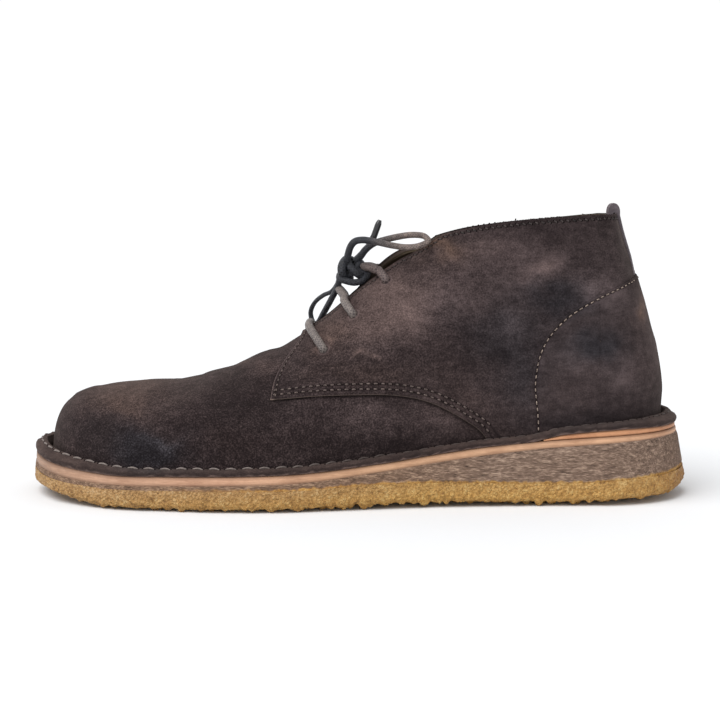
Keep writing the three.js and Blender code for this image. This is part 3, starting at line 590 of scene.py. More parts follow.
wedge_finish, shader = finish_of("wedge_crumb", 0.85, 0.25)
tree = wedge_finish.node_tree
colour, height = crumb_colours(tree, paint(64, 50, 42), paint(124, 102, 88), paint(188, 162, 142), 0.2, 2300)
honey, _ = crumb_colours(tree, *HONEY, 1.0, 850)
patchy = add(tree, "ShaderNodeTexNoise", {
    "Vector": add(tree, "ShaderNodeTexCoord").outputs["Object"], "Scale": 330, "Detail": 4}).outputs["Fac"]
above = add(tree, "ShaderNodeAttribute", attribute_name="above").outputs["Fac"]
above = maths(tree, "MULTIPLY_ADD", patchy, -3.4, above)
smear = add(tree, "ShaderNodeMapRange", {"Value": above, "From Min": -0.5, "From Max": -1.6}).outputs[0]
behind_toe = add(tree, "ShaderNodeMapRange", {"Value": along_boot(tree), "From Min": 0.2, "From Max": 0.4})
smear = maths(tree, "MULTIPLY", smear, behind_toe.outputs[0])
colour = blend_colour(tree, smear, colour, honey)
tint = stops(tree, along_boot(tree), (0.5, (0.98, 0.9, 0.8, 1)), (0.7, (1, 1, 1, 1)), (0.94, (0.98, 0.98, 0.98, 1)),
             (1, (0.74, 0.68, 0.64, 1)))
tree.links.new(times_colour(tree, colour, tint), shader.inputs["Base Color"])
tree.links.new(bump_from(tree, height, 0.0005, 0.8), shader.inputs["Normal"])
wedge_rings = [wedge_ring(k / 8) for k in range(9)]
bm = round_boot(320, len(wedge_rings) + 1, layer_spot(wedge_rings))
note_height(bm, "above", "crepe")
settle(bm, "wedge_layer", [wedge_finish], "wedge", "wedge")


# Midsole and heel seat: tan sole leather, cut and buffed at its edge, with painted shade along both corners where it
# meets the layers above and below.
# The heel seat is a second lift that starts thin at the waist, with the glue line showing under it.
def sole_leather(name, pale, deep, toe_tint, heel_tint):
    material, shader = finish_of(name, 0.55, 0.35)
    tree = material.node_tree
    spot = add(tree, "ShaderNodeTexCoord").outputs["Object"]
    drawn = add(tree, "ShaderNodeMapping", {"Vector": spot, "Scale": (1, 1, 9)}).outputs[0]
    fibres = add(tree, "ShaderNodeTexNoise", {"Vector": drawn, "Scale": 170, "Detail": 6, "Roughness": 0.7})
    blots = add(tree, "ShaderNodeTexNoise", {"Vector": spot, "Scale": 55, "Detail": 5, "Roughness": 0.6})
    value = maths(tree, "MULTIPLY_ADD", fibres.outputs["Fac"], 0.9,
                  maths(tree, "MULTIPLY_ADD", blots.outputs["Fac"], 0.9, -0.4))
    colour = stops(tree, value, (0.2, deep), (0.62, pale))
    up = up_the_side(tree)
    corner = maths(tree, "ABSOLUTE", maths(tree, "SUBTRACT", up, 0.5))
    corner = add(tree, "ShaderNodeMapRange", {"Value": corner, "From Min": 0.06, "From Max": 0.17}).outputs[0]
    # Painted shade along the top and bottom corners of the edge, where the layers meet, broken up by the fibres.
    corner_shade = maths(tree, "MULTIPLY", corner, add(tree, "ShaderNodeMapRange", {
        "Value": fibres.outputs["Fac"], "From Min": 0.25, "From Max": 0.6, "To Min": 0.3}).outputs[0])
    colour = blend_colour(tree, maths(tree, "MULTIPLY", corner_shade, 0.55), colour, paint(92, 66, 52))
    colour = times_colour(tree, colour, stops(
        tree, along_boot(tree), (0, (0.5, 0.5, 0.52, 1)), (0.1, toe_tint), (0.3, (1, 0.96, 0.98, 1)),
        (0.5, (0.94, 0.9, 0.84, 1)), (0.75, (1, 0.98, 0.94, 1)), (1, heel_tint)))
    tree.links.new(colour, shader.inputs["Base Color"])
    tree.links.new(bump_from(tree, fibres.outputs["Fac"], 0.0003, 0.6), shader.inputs["Normal"])
    return material


midsole_finish = sole_leather(
    "midsole_leather", paint(212, 170, 138), paint(168, 126, 98), (0.8, 0.8, 0.84, 1), (0.92, 0.84, 0.78, 1))
midsole_rings = [
    (ledge(-0.5), top_of("wedge", -0.1)), (ledge(-0.2), top_of("wedge", 0.3)),
    (ledge(-0.15), lambda x, station: (sole_at(round(x, 2))["wedge"] + sole_at(round(x, 2))["midsole"]) / 2),
    (ledge(-0.3), top_of("midsole", -0.45)), (ledge(-0.8), top_of("midsole", -0.05)),
]
bm = round_boot(320, len(midsole_rings) + 1, layer_spot(midsole_rings))
settle(bm, "midsole_edge", [midsole_finish], "leather", "midsole")

seat_finish = sole_leather(
    "heel_seat_leather", paint(214, 158, 118), paint(166, 112, 80), (1, 1, 1, 1), (0.86, 0.8, 0.76, 1))


def seat_height(share):
    def height(x, station):
        row = sole_at(round(x, 2))
        top = max(row["seat"] - 0.1, row["midsole"] + 0.6)
        return (row["midsole"] + 0.15) * (1 - share) + top * share
    return height


seat_rings = [
    (ledge(-1.2), seat_height(0)), (ledge(-0.75), seat_height(0.2)), (ledge(-0.8), seat_height(0.8)),
    (ledge(-1.2), seat_height(1)),
]
bm = round_boot(320, len(seat_rings) + 1, layer_spot(seat_rings))
geometry = bm.verts[:] + bm.edges[:] + bm.faces[:]
bmesh.ops.bisect_plane(bm, geom=geometry, plane_co=(82, 0, 0), plane_no=(-1, 0, 0), clear_outer=True)
bmesh.ops.edgeloop_fill(bm, edges=[edge for edge in bm.edges if edge.is_boundary])
settle(bm, "heel_seat_lift", [seat_finish], "leather", "heel_seat")


# Upper: four pieces of oiled suede, cut from the grain side down and pulled over the last.
# The skin of the last is one cubic section at each station; every leather lies at its own level on it.
@functools.lru_cache(maxsize=None)
def skin(station, v, side):
    """A point of the last's skin: v runs from 0 at the feather line to 1 at the crest."""
    row = last_at(station)
    reach = row["lateral"] if side == LATERAL else row["medial"]
    open_half = max(row["open"], 0)
    low = sole_at(round(outline(station, side).x, 3))["seat"] + 0.3
    radii = (reach, reach + row["side_out"], open_half + row["top_full"] * (reach - open_half), open_half)
    heights = (low, low + row["side_up"] * (row["crest"] - low), row["crest"] - row["top_drop"], row["crest"])
    weights = ((1 - v) ** 3, 3 * v * (1 - v) ** 2, 3 * v * v * (1 - v), v ** 3)
    radius = sum(a * b for a, b in zip(radii, weights))
    z = sum(a * b for a, b in zip(heights, weights))
    way = ray(row["turn"], side)
    return Vector((row["x"] + way.x * radius, row["y"] + way.y * radius, z))


@functools.lru_cache(maxsize=None)
def facing(station, v, side):
    """The direction that the skin faces there."""
    def one(v, side):
        near, far = max(station - 0.6, 0), min(station + 0.6, ROUND)
        along = skin(far, v, side) - skin(near, v, side)
        up = skin(station, min(v + 0.01, 1), side) - skin(station, max(v - 0.01, 0), side)
        return (along.cross(up) * -side).normalized()
    row = last_at(station)
    if row["open"] > 0 or v < 0.985:
        return one(v, side)
    if row["turn"] < 89.9:
        return Vector((0, 0, 1))
    return (one(0.985, LATERAL) + one(0.985, MEDIAL)).normalized()


# Creases from wear, each along a line seen from the side: a trough is deep, and a fold stands proud.
CREASES = (
    # x, z, to_x, to_z, wide, deep
    (54, 70, 104, 104, 9, 0.9),
    (46, 58, 88, 74, 7, 0.6),
    (58, 84, 92, 112, 8, -0.6),
    (24, 66, 56, 62, 9, 0.5),
    (-4, 62, 26, 84, 10, -0.5),
    (-54, 62, -60, 38, 6, 0.55),
    (-44, 66, -50, 42, 6, -0.4),
    (-34, 68, -42, 48, 5, 0.4),
    (-112, 44, -96, 30, 10, 0.5),
    (-78, 48, -70, 30, 9, -0.4),
    (98, 88, 126, 96, 7, 0.5),
    (92, 46, 128, 52, 10, -0.5),
    (-58, 60, -38, 67, 7, -0.9),
    (-86, 52, -72, 54.5, 6, 0.8),
    (-134, 45, -123, 48.5, 5, -0.7),
    (136, 74, 141, 46, 12, -0.7),
)


def worn(at):
    """How far wear has pushed the leather in (below 0) or out at a place."""
    lift = 0.55 * noise.noise(at / 34) + 0.22 * noise.noise(at / 11)
    for x, z, to_x, to_z, wide, deep in CREASES:
        along = Vector((to_x - x, to_z - z))
        from_start = Vector((at.x - x, at.z - z))
        share = from_start.dot(along) / along.length_squared
        near = min(max(share, 0), 1)
        apart = (from_start - along * near).length
        end = math.exp(-((max(abs(share - 0.5) - 0.32, 0) / 0.2) ** 2))
        lift -= deep * end * math.exp(-((apart / wide) ** 2))
    return lift


@functools.lru_cache(maxsize=None)
def leather(station, v, side, level):
    at = skin(station, v, side)
    fixed = min(v / 0.12, 1)
    return at + facing(station, v, side) * (level + worn(at) * fixed)


def station_of(x, side):
    low, high = 0.0, ROUND
    for _ in range(26):
        middle = (low + high) / 2
        if outline(middle, side).x < x:
            low = middle
        else:
            high = middle
    return (low + high) / 2


def v_where(station, side, test):
    """How far up the skin a test stops holding."""
    low, high = 0.0, 1.0
    for _ in range(20):
        middle = (low + high) / 2
        if test(skin(station, middle, side)):
            low = middle
        else:
            high = middle
    return low


def through(rows):
    """A smooth line through a short table of places."""
    return rounded_route([(a, b, 0) for a, b in rows], 2)


THROAT_NAMES = ("x", "y", "half")
THROAT = (
    (-25, 0.2, 1.6), (-14, -0.6, 3.2), (4, -2, 4.4), (18, -2.6, 5), (25, -2.5, 6.4), (32, -2.2, 9.9),
    (38, -1.9, 12.4), (44, -1.6, 13),
)
throat_at = smooth_columns(THROAT_NAMES, THROAT, [row[0] for row in THROAT])


@functools.lru_cache(maxsize=None)
def v_top(station, side):
    """The upper's top edge: the ridge, then the throat's edge, then the collar."""
    row = last_at(station)
    x = outline(station, side).x
    if row["turn"] > 90.1 or row["turn"] < 89.9 or not -26 < x < 43:
        return 1.0
    gap = throat_at(x)
    return v_where(station, side, lambda p: side * (p.y - gap["y"]) > gap["half"])


def spot_of(x, z, side):
    """The station and v of a place that is seen from the side."""
    if x < 105:
        station = station_of(x, side)
        return station, v_where(station, side, lambda p: p.z < z)
    low, high = station_of(100, side), ROUND
    for _ in range(18):
        middle = (low + high) / 2
        v = v_where(middle, side, lambda p: p.z < z)
        if skin(middle, v, side).x < x:
            low = middle
        else:
            high = middle
    return low, v


# Suede: a dark oiled nap with brushed lighter and darker patches, dusty where hands and feet rub it. The patches are
# partly the suede's own brushed tone and partly painted light and shade: painted shade low down by the welt and round
# the ankle, and painted light on the toe's top and on the facings.
NAP_AND_SHADE_PATCHES = (
    # x, z, wide, high, lighter, warmer
    (11, 95, 26, 15, 0.24, 0.2),
    (-13, 77, 14, 9, 0.18, 0.3),
    (18, 79, 20, 9, 0.22, 0.1),
    (36, 113, 9, 5, 0.2, 0.7),
    (56, 114, 14, 8, 0.22, 0.1),
    (82, 107, 7, 7, 0.34, 0.2),
    (77, 101, 9, 5, 0.14, 0.1),
    (66, 82, 5, 5, 0.16, 0),
    (109, 94, 11, 7, 0.26, 0),
    (129, 86, 4, 9, 0.34, 0.7),
    (96, 62, 10, 8, 0.14, 0),
    (118, 55, 9, 8, 0.24, 0),
    (106, 71, 11, 6, -0.12, -0.8),
    (89, 91, 13, 6, -0.14, -0.7),
    (63, 76, 18, 12, -0.14, -0.5),
    (71, 56, 13, 14, -0.1, -0.7),
    (98, 38, 30, 5, -0.16, -0.3),
    (46, 68, 14, 10, -0.12, 0),
    (13, 28, 50, 7, -0.14, 0),
    (3, 44, 12, 5, 0.12, 0),
    (31, 35, 14, 5, 0.12, 0),
    (-113, 47, 18, 8, 0.16, 0.3),
    (-94, 50, 18, 6, 0.1, 0.2),
    (-105, 41, 9, 4, 0.12, 0.2),
    (-92, 26, 16, 7, -0.1, -1.3),
    (-86, 30, 7, 2.5, 0.2, -0.4),
    (-120, 33, 10, 6, -0.1, -0.2),
    (-46, 46, 24, 12, -0.12, 0),
    (-60, 30, 30, 8, -0.1, 0.1),
    (-52, 61, 14, 4, 0.16, 0.2),
    (2, 67.4, 4, 1.1, 0.34, 0.2),
    (7, 66, 3, 0.9, 0.3, 0.2),
    (-15, 73, 5, 1, 0.24, 0.2),
    (0, 59, 26, 5, 0.06, 0.2),
    (26, 91, 16, 9, 0.12, 0),
    (98, 74, 44, 48, 0.11, -0.25),
    (50, 92, 26, 22, 0.12, 0),
    (20, 40, 60, 14, 0.06, 0),
    (66, 50, 26, 20, 0.07, 0.3),
    (134, 66, 12, 12, 0.12, 0.1),
)


def drift(here):
    """A smooth push in three directions. It reads plain noise, which is the same on every run."""
    return Vector([noise.noise(here + Vector(shift)) for shift in ((0, 0, 0), (31, 0, 0), (0, 47, 0))])


def brush_nap_and_shade(bm):
    """Notes on each point how light and how warm the suede lies there: its own brushed tone together with painted
    light and shade.
    """
    light = bm.verts.layers.float.new("nap_and_shade")
    warm = bm.verts.layers.float.new("warmth")
    for vert in bm.verts:
        at = vert.co + drift(vert.co / 15) * 6 + drift(vert.co / 5) * 2.2
        for x, z, wide, high, lighter, warmer in NAP_AND_SHADE_PATCHES:
            far = ((at.x - x) / wide) ** 2 + ((at.z - z) / high) ** 2
            if far < 7:
                share = math.exp(-far)
                vert[light] += lighter * share
                vert[warm] += warmer * share


nap_and_shade_group, given, result = group_of(
    "suede_nap_and_shade",
    [("Lighter", "Float"), ("Warmer", "Float"), ("Dark", "Color"), ("Light", "Color"), ("Grain", "Float")],
    [("Color", "Color"), ("Height", "Float")],
)
spot = add(nap_and_shade_group, "ShaderNodeTexCoord").outputs["Object"]
broad = add(nap_and_shade_group, "ShaderNodeTexNoise", {"Vector": spot, "Scale": 48, "Detail": 3}).outputs["Fac"]
cloudy = add(
    nap_and_shade_group, "ShaderNodeTexNoise", {"Vector": spot, "Scale": 260, "Detail": 4, "Roughness": 0.62}
).outputs["Fac"]
fibres = add(
    nap_and_shade_group, "ShaderNodeTexNoise", {"Vector": spot, "Scale": 1450, "Detail": 3, "Roughness": 0.7}
).outputs["Fac"]
lay = add(nap_and_shade_group, "ShaderNodeMapping", {"Vector": spot, "Rotation": (0, 0.6, 0), "Scale": (1, 1, 3.4)})
brushed = add(
    nap_and_shade_group, "ShaderNodeTexNoise", {"Vector": lay.outputs[0], "Scale": 120, "Detail": 5, "Roughness": 0.7}
).outputs["Fac"]
# Lighter carries the patches: the suede's own tone together with painted light and shade.
value = maths(nap_and_shade_group, "ADD", given.outputs["Lighter"], -0.2)
for source, much in ((broad, 0.26), (cloudy, 0.4), (brushed, 0.42)):
    value = maths(nap_and_shade_group, "MULTIPLY_ADD", source, much, value)
speck = maths(nap_and_shade_group, "MULTIPLY", maths(nap_and_shade_group, "SUBTRACT", fibres, 0.5), given.outputs["Grain"])
value = add(nap_and_shade_group, "ShaderNodeClamp", {"Value": maths(nap_and_shade_group, "ADD", value, speck)}).outputs[0]
value = maths(nap_and_shade_group, "POWER", value, 2.1)
base = blend_colour(nap_and_shade_group, value, given.outputs["Dark"], given.outputs["Light"])
warmer = add(nap_and_shade_group, "ShaderNodeClamp", {"Value": given.outputs["Warmer"]}).outputs[0]
cooler = add(nap_and_shade_group, "ShaderNodeClamp", {"Value": maths(nap_and_shade_group, "MULTIPLY", given.outputs["Warmer"], -1)})
tinted = add(nap_and_shade_group, "ShaderNodeMix", {0: warmer, 6: base, 7: (1.12, 0.92, 0.62, 1)}, data_type="RGBA",
             blend_type="MULTIPLY").outputs[2]
tinted = add(nap_and_shade_group, "ShaderNodeMix", {0: cooler.outputs[0], 6: tinted, 7: (0.78, 0.98, 1.12, 1)},
             data_type="RGBA", blend_type="MULTIPLY").outputs[2]
nap_and_shade_group.links.new(tinted, result.inputs["Color"])
height = maths(nap_and_shade_group, "MULTIPLY_ADD", cloudy, 0.9, fibres)
nap_and_shade_group.links.new(height, result.inputs["Height"])


def near_row(tree, distance, row, wide):
    """1 on a line that lies that many millimetres from an edge, falling to 0 beside it."""
    apart = maths(tree, "ABSOLUTE", maths(tree, "SUBTRACT", distance, row))
    return add(tree, "ShaderNodeMapRange", {"Value": apart, "From Min": wide, "From Max": 0}).outputs[0]


def suede_finish(name, dark, light, grain=1.5, rows=()):
    """Suede of one piece. rows are an edge's name, a line's distance from it, its width and its shade: a line with
    shade above 0 is dented and given painted shade, one below 0 is made lighter.
    """
    material, shader = finish_of(name, 0.94, 0.12)
    shader.inputs["Sheen Weight"].default_value = 0.12
    shader.inputs["Sheen Roughness"].default_value = 0.45
    shader.inputs["Sheen Tint"].default_value = paint(190, 170, 158)
    tree = material.node_tree
    # This attribute holds the suede's own patchy tone together with painted light and shade.
    lighter = add(tree, "ShaderNodeAttribute", attribute_name="nap_and_shade").outputs["Fac"]
    warmer = add(tree, "ShaderNodeAttribute", attribute_name="warmth").outputs["Fac"]
    nap_and_shade = add(tree, "ShaderNodeGroup", node_tree=nap_and_shade_group)
    tree.links.new(lighter, nap_and_shade.inputs["Lighter"])
    tree.links.new(warmer, nap_and_shade.inputs["Warmer"])
    nap_and_shade.inputs["Dark"].default_value = dark
    nap_and_shade.inputs["Light"].default_value = light
    coarse = add(tree, "ShaderNodeMapRange", {
        "Value": along_boot(tree), "From Min": 0.45, "From Max": 0.75, "To Min": grain, "To Max": grain / 2})
    tree.links.new(coarse.outputs[0], nap_and_shade.inputs["Grain"])
    colour, height = nap_and_shade.outputs["Color"], maths(tree, "MULTIPLY", nap_and_shade.outputs["Height"], 0.12)
    for edge, distance, wide, shade in rows:
        apart = add(tree, "ShaderNodeAttribute", attribute_name=edge).outputs["Fac"]
        groove = near_row(tree, apart, distance, wide)
        # Above 0 the line is painted shade, darker towards Dark, with a dent in the bump; below 0 it is made lighter
        # towards Light.
        if shade >= 0:
            height = maths(tree, "MULTIPLY_ADD", groove, -0.5, height)
            colour = blend_colour(tree, maths(tree, "MULTIPLY", groove, shade), colour, dark)
        else:
            colour = blend_colour(tree, maths(tree, "MULTIPLY", groove, -shade), colour, light)
    tree.links.new(colour, shader.inputs["Base Color"])
    tree.links.new(bump_from(tree, height, 0.0006, 0.9), shader.inputs["Normal"])
    return material


SUEDE_DARK, SUEDE_LIGHT = paint(24, 17, 18), paint(118, 101, 100)
# The cut edge is pale where the raw cut shows at the quarters' front and darker everywhere else; along the lower seam
# that darkness is painted shade in the crease under the lap.
cut_edge, shader = finish_of("cut_edge", 0.9, 0.1)
tree = cut_edge.node_tree
spot = add(tree, "ShaderNodeTexCoord").outputs["Object"]
fuzz = add(tree, "ShaderNodeTexNoise", {"Vector": spot, "Scale": 900, "Detail": 3}).outputs["Fac"]
apart = add(tree, "ShaderNodeAttribute", attribute_name="front").outputs["Fac"]
pale = add(tree, "ShaderNodeMapRange", {"Value": apart, "From Min": 2.5, "From Max": 1, "To Min": 0.15})
low = blend_colour(tree, pale.outputs[0], paint(34, 29, 28), paint(84, 72, 66))
high = blend_colour(tree, pale.outputs[0], paint(66, 56, 52), paint(156, 136, 124))
tree.links.new(blend_colour(tree, fuzz, low, high), shader.inputs["Base Color"])


# Vamp: one piece from the toe back under the quarters, 0.9 mm of suede on its own lining.
# It is lasted over a soft toe, so its skin is full at the ball and dips behind it.
def both_halves(columns, rows, first, final, outer, inner, v_end):
    """A sheet over both sides of the last, with its thickness, joined where the sides meet."""
    bm = new_mesh()
    known = set()
    for side in (LATERAL, MEDIAL):
        bmesh.ops.create_grid(bm, x_segments=columns, y_segments=rows, size=1, calc_uvs=True)
        bmesh.ops.solidify(bm, geom=[face for face in bm.faces if face.verts[0] not in known], thickness=0.1)
        fresh = [vert for vert in bm.verts if vert not in known]
        known.update(fresh)
        where = {}
        for vert in fresh:
            i, j = round((vert.co.x + 1) / 2 * columns), round((vert.co.y + 1) / 2 * rows)
            station = first + (final - first) * i / columns
            shut = i == 0 or (i == columns and final >= ROUND)
            crown = v_end(station, side)
            ridge = j == rows and crown >= 1 and last_at(station)["open"] <= 0
            where[vert] = (i, j, shut, ridge, vert.co.z > -0.05)
        inside = [
            face for face in bm.faces
            if face.verts[0] in where and len({where[vert][4] for vert in face.verts}) == 2
            and (all(where[v][2] for v in face.verts) and len({where[v][0] for v in face.verts}) == 1
                 or all(where[v][3] for v in face.verts))
        ]
        for face in bm.faces:
            if face.verts[0] in where and len({where[vert][4] for vert in face.verts}) == 2:
                face.material_index = 1
        bmesh.ops.delete(bm, geom=inside, context="FACES_ONLY")
        for vert, (i, j, _, _, out) in where.items():
            station = first + (final - first) * i / columns
            v = v_end(station, side) * j / rows
            vert.co = leather(station, v, side, outer if out else inner)
    bmesh.ops.remove_doubles(bm, verts=bm.verts, dist=0.05)
    return bm


def vamp_top(station, side):
    x = outline(station, side).x
    if x < -21.5 or last_at(station)["turn"] < 89:
        return 1.0
    full = v_where(station, side, lambda p: p.z < 58)
    return 1 + (full - 1) * min((x + 21.5) / 6, 1)


QUARTER_SEAM = ((-38.7, 47.4), (-12.8, 49.4), (16, 49.6), (31, 46.6), (46, 39.2), (56, 31.6), (60, 20))
QUARTER_FRONT = ((-38.7, 47.4), (-37.4, 54.5), (-33.6, 62), (-26.5, 70.5), (-22, 79))


def note_distance(bm, name, lines):
    """Notes on each point how far it is from those lines, in millimetres."""
    layer = bm.verts.layers.float.new(name)
    marks = [a.lerp(b, k / 4) for line in lines for a, b in zip(line, line[1:]) for k in range(4)]
    tree = kdtree.KDTree(len(marks))
    for k, mark in enumerate(marks):
        tree.insert(mark, k)
    tree.balance()
    for vert in bm.verts:
        vert[layer] = tree.find(vert.co)[2]


def on_skin(spots, side, level):
    return [leather(station, v, side, level) for station, v in spots]


seam_spots = {side: [spot_of(p.x, p.y, side) for p in through(QUARTER_SEAM)] for side in (LATERAL, MEDIAL)}
front_spots = {side: [spot_of(p.x, p.y, side) for p in through(QUARTER_FRONT)] for side in (LATERAL, MEDIAL)}
bm = both_halves(170, 56, 0.0, station_of(66, LATERAL), 0.0, -0.9, vamp_top)
brush_nap_and_shade(bm)
borders = [on_skin(spots[side], side, 0.2) for spots in (seam_spots, front_spots) for side in (LATERAL, MEDIAL)]
note_distance(bm, "seam", borders)
# The vamp's row at the seam is painted shadow, cast under the quarters' lapped edge.
vamp_suede = suede_finish("vamp_suede", SUEDE_DARK, SUEDE_LIGHT, rows=(("seam", 0, 1.6, 0.8),))
settle(bm, "vamp", [vamp_suede, cut_edge], "suede", "upper")


# Quarters: the two sides of the shaft, lapped 1.1 mm over the vamp and sewn down in two rows.
# Their front edges are left raw, so the cut shows as a paler line; the facings carry three holes.
def resample(line, count):
    """The same line with count + 1 even steps; stations and v are weighed as millimetres."""
    far = [0.0]
    for a, b in zip(line, line[1:]):
        far.append(far[-1] + math.hypot(b[0] - a[0], 90 * (b[1] - a[1])))
    made = []
    for k in range(count + 1):
        want = far[-1] * k / count
        i = min(max(bisect.bisect_right(far, want) - 1, 0), len(line) - 2)
        t = (want - far[i]) / (far[i + 1] - far[i])
        made.append(tuple(a + (b - a) * t for a, b in zip(line[i], line[i + 1])))
    return made


def quarter_grid(side, columns, rows):
    """Where the quarter's grid lies on the skin: a patch between its seam, front, facing and heel."""
    seam = [spot for spot in seam_spots[side] if spot[1] > 0.001]
    feather = [(seam[-1][0] + 1 + (ROUND - seam[-1][0] - 1) * k / 40, 0.0) for k in range(41)]
    start = station_of(QUARTER_FRONT[-1][0], side)
    top = [start + (ROUND - start) * k / 160 for k in range(161)]
    top = [(station, v_top(station, side)) for station in top]
    low = resample([front_spots[side][0], *seam[1:], *feather], columns)
    high = resample(top, columns)
    left = resample([*front_spots[side][:-1], top[0]], rows)
    right = resample([(ROUND, 0.0), (ROUND, 1.0)], rows)

    def place(i, j):
        s, t = i / columns, j / rows
        made = []
        for k in (0, 1):
            flat = (1 - t) * low[i][k] + t * high[i][k] + (1 - s) * left[j][k] + s * right[j][k]
            flat -= (1 - s) * ((1 - t) * low[0][k] + t * high[0][k]) + s * ((1 - t) * low[-1][k] + t * high[-1][k])
            made.append(flat)
        return made[0], min(max(made[1], 0), 1)
    return place


def panel(columns, rows, place, outer, inner):
    """A cut piece of leather: a flat sheet gets its thickness, then each face is laid on the last."""
    bm = new_mesh()
    bmesh.ops.create_grid(bm, x_segments=columns, y_segments=rows, size=1, calc_uvs=True)
    bmesh.ops.solidify(bm, geom=bm.faces[:], thickness=0.1)
    outside = {vert: vert.co.z > -0.05 for vert in bm.verts}
    for vert in bm.verts:
        i = round((vert.co.x + 1) / 2 * columns)
        j = round((vert.co.y + 1) / 2 * rows)
        station, v, side = place(i, j)
        vert.co = leather(station, v, side, outer(i, j) if outside[vert] else inner(i, j))
    for face in bm.faces:
        if len({outside[vert] for vert in face.verts}) == 2:
            face.material_index = 1
    brim = [
        edge for edge in bm.edges
        if outside[edge.verts[0]] and outside[edge.verts[1]]
        and len({face.material_index for face in edge.link_faces}) == 2
    ]
    bmesh.ops.bevel(bm, geom=brim, offset=0.32, segments=2, affect="EDGES", profile=0.5, material=-1)
    return bm


def quarter_inside(station, v, side):
    """The quarter rests on the vamp in front, and behind it on the shaft's lining."""
    at = skin(station, v, side)
    behind = min(max((at.x - 66) / 4, 0), 1)
    above = min(max((at.z - 59) / 4, 0), 1) * min(max((at.x + 14) / 5, 0), 1)
    return 0.06 - 0.96 * max(behind, above)


# Painted shade darkens the stitch grooves of the seam, front and collar rows; the pale line at the front is the raw
# cut. Round each hole a dark ring is painted shadow at its lower edge, and a paler ring is a painted highlight, widest
# below it.
quarter_suede = suede_finish(
    "quarter_suede", SUEDE_DARK, SUEDE_LIGHT,
    rows=(("seam", 2.3, 0.9, 0.75), ("seam", 4.7, 0.9, 0.75), ("front", 2, 0.8, 0.7), ("front", 0, 0.7, -0.6),
          ("rim", 1.7, 0.8, 0.6), ("hole", 1.8, 0.5, 0.7), ("hole", 2.7, 0.7, -0.35)),
)
HOLES = ((-15.4, 68.2), (-1.9, 83.5), (12.8, 98.7))


def punch(piece, radius, level):
    """Cuts the lace holes through a piece, square to the facing."""
    cutter = bmesh.new()
    for side in (LATERAL, MEDIAL):
        for x, z in HOLES:
            station, v = spot_of(x, z, side)
            way = facing(station, v, side)
            at = leather(station, v, side, level)
            place = Matrix.Translation(at / 1000) @ way.to_track_quat("Z", "Y").to_matrix().to_4x4()
            bmesh.ops.create_cone(
                cutter, cap_ends=True, segments=28, radius1=radius / 1000, radius2=radius / 1000,
                depth=0.007, matrix=place)
    mesh = bpy.data.meshes.new("punch")
    cutter.to_mesh(mesh)
    cutter.free()
    tool = bpy.data.objects.new("punch", mesh)
    bpy.context.scene.collection.objects.link(tool)
    before = piece.data
    layers = [layer.name for layer in before.attributes if layer.domain == "POINT" and layer.data_type == "FLOAT"]
    tree = kdtree.KDTree(len(before.vertices))
    for k, vert in enumerate(before.vertices):
        tree.insert(vert.co, k)
    tree.balance()
    cut = piece.modifiers.new("punch", "BOOLEAN")
    cut.object = tool
    cut.operation = "DIFFERENCE"
    cut.solver = "EXACT"
    seen = bpy.context.evaluated_depsgraph_get()
    after = bpy.data.meshes.new_from_object(piece.evaluated_get(seen), depsgraph=seen)
    for name in layers:
        old = before.attributes[name].data
        if name not in after.attributes:
            after.attributes.new(name, "FLOAT", "POINT")
        fresh = after.attributes[name].data
        for k, vert in enumerate(after.vertices):
            fresh[k].value = old[tree.find(vert.co)[1]].value
    piece.modifiers.clear()
    piece.data = after
    bpy.data.objects.remove(tool)


def flare(bm, line):
    """The inner side's facing stands up a little above the top hole, and its collar sags behind that."""
    tree = kdtree.KDTree(len(line))
    for k, at in enumerate(line):
        tree.insert(at, k)
    tree.balance()
    for vert in bm.verts:
        if vert.co.y > 0 and 0 < vert.co.x < 31:
            near = max(1 - tree.find(vert.co)[2] / 8, 0)
            vert.co.z += 4.8 * math.sin(math.pi * vert.co.x / 31) ** 0.9 * near ** 1.3
        elif vert.co.y > 0 and 31 <= vert.co.x < 112:
            near = max(1 - tree.find(vert.co)[2] / 16, 0)
            vert.co.z -= 1.7 * math.sin(math.pi * (vert.co.x - 31) / 81) ** 0.6 * near


quarter_faces = {}
top_spots = {}
for side, name in ((LATERAL, "quarter_outer"), (MEDIAL, "quarter_inner")):
    across, up = (170, 66)
    spots = quarter_grid(side, across, up)
    bm = panel(
        across, up, lambda i, j: (*spots(i, j), side), lambda i, j: 1.1,
        lambda i, j: quarter_inside(*spots(i, j), side))
    brush_nap_and_shade(bm)
    note_distance(bm, "seam", [on_skin(seam_spots[side], side, 1.1)])
    note_distance(bm, "front", [on_skin(front_spots[side], side, 1.1)])
    note_distance(bm, "hole", [[leather(*spot_of(x + 0.4, z - 0.5, side), side, 1.1)] * 2 for x, z in HOLES])
    top_spots[side] = [spots(i, up) for i in range(across + 1)]
    note_distance(bm, "rim", [on_skin(top_spots[side], side, 1.1)])
    flare(bm, on_skin(top_spots[MEDIAL], MEDIAL, 0) if side == MEDIAL else [])
    quarter_faces[side] = BVHTree.FromBMesh(bm)
    punch(settle(bm, name, [quarter_suede, cut_edge], "suede", "upper"), 1.75, 0)


# Counter: a patch of the same suede round the heel, skived thin at its edge and sewn in one pale row.
COUNTER_EDGE = ((79, 20), (78.4, 38), (77.2, 56), (81, 71), (90, 82.6), (104, 91.6), (120, 98.4), (134, 103.5))


def counter_grid(side, half, rows):
    edge = resample([spot_of(p.x, p.y, side) for p in through(COUNTER_EDGE)], rows)
    crown = edge[-1][1]

    def place(i, j):
        share = abs(i - half) / half
        back = (ROUND, crown * j / rows)
        return tuple(back[k] + (edge[j][k] - back[k]) * share for k in (0, 1))
    return place, edge


counters = {side: counter_grid(side, 56, 60) for side in (LATERAL, MEDIAL)}


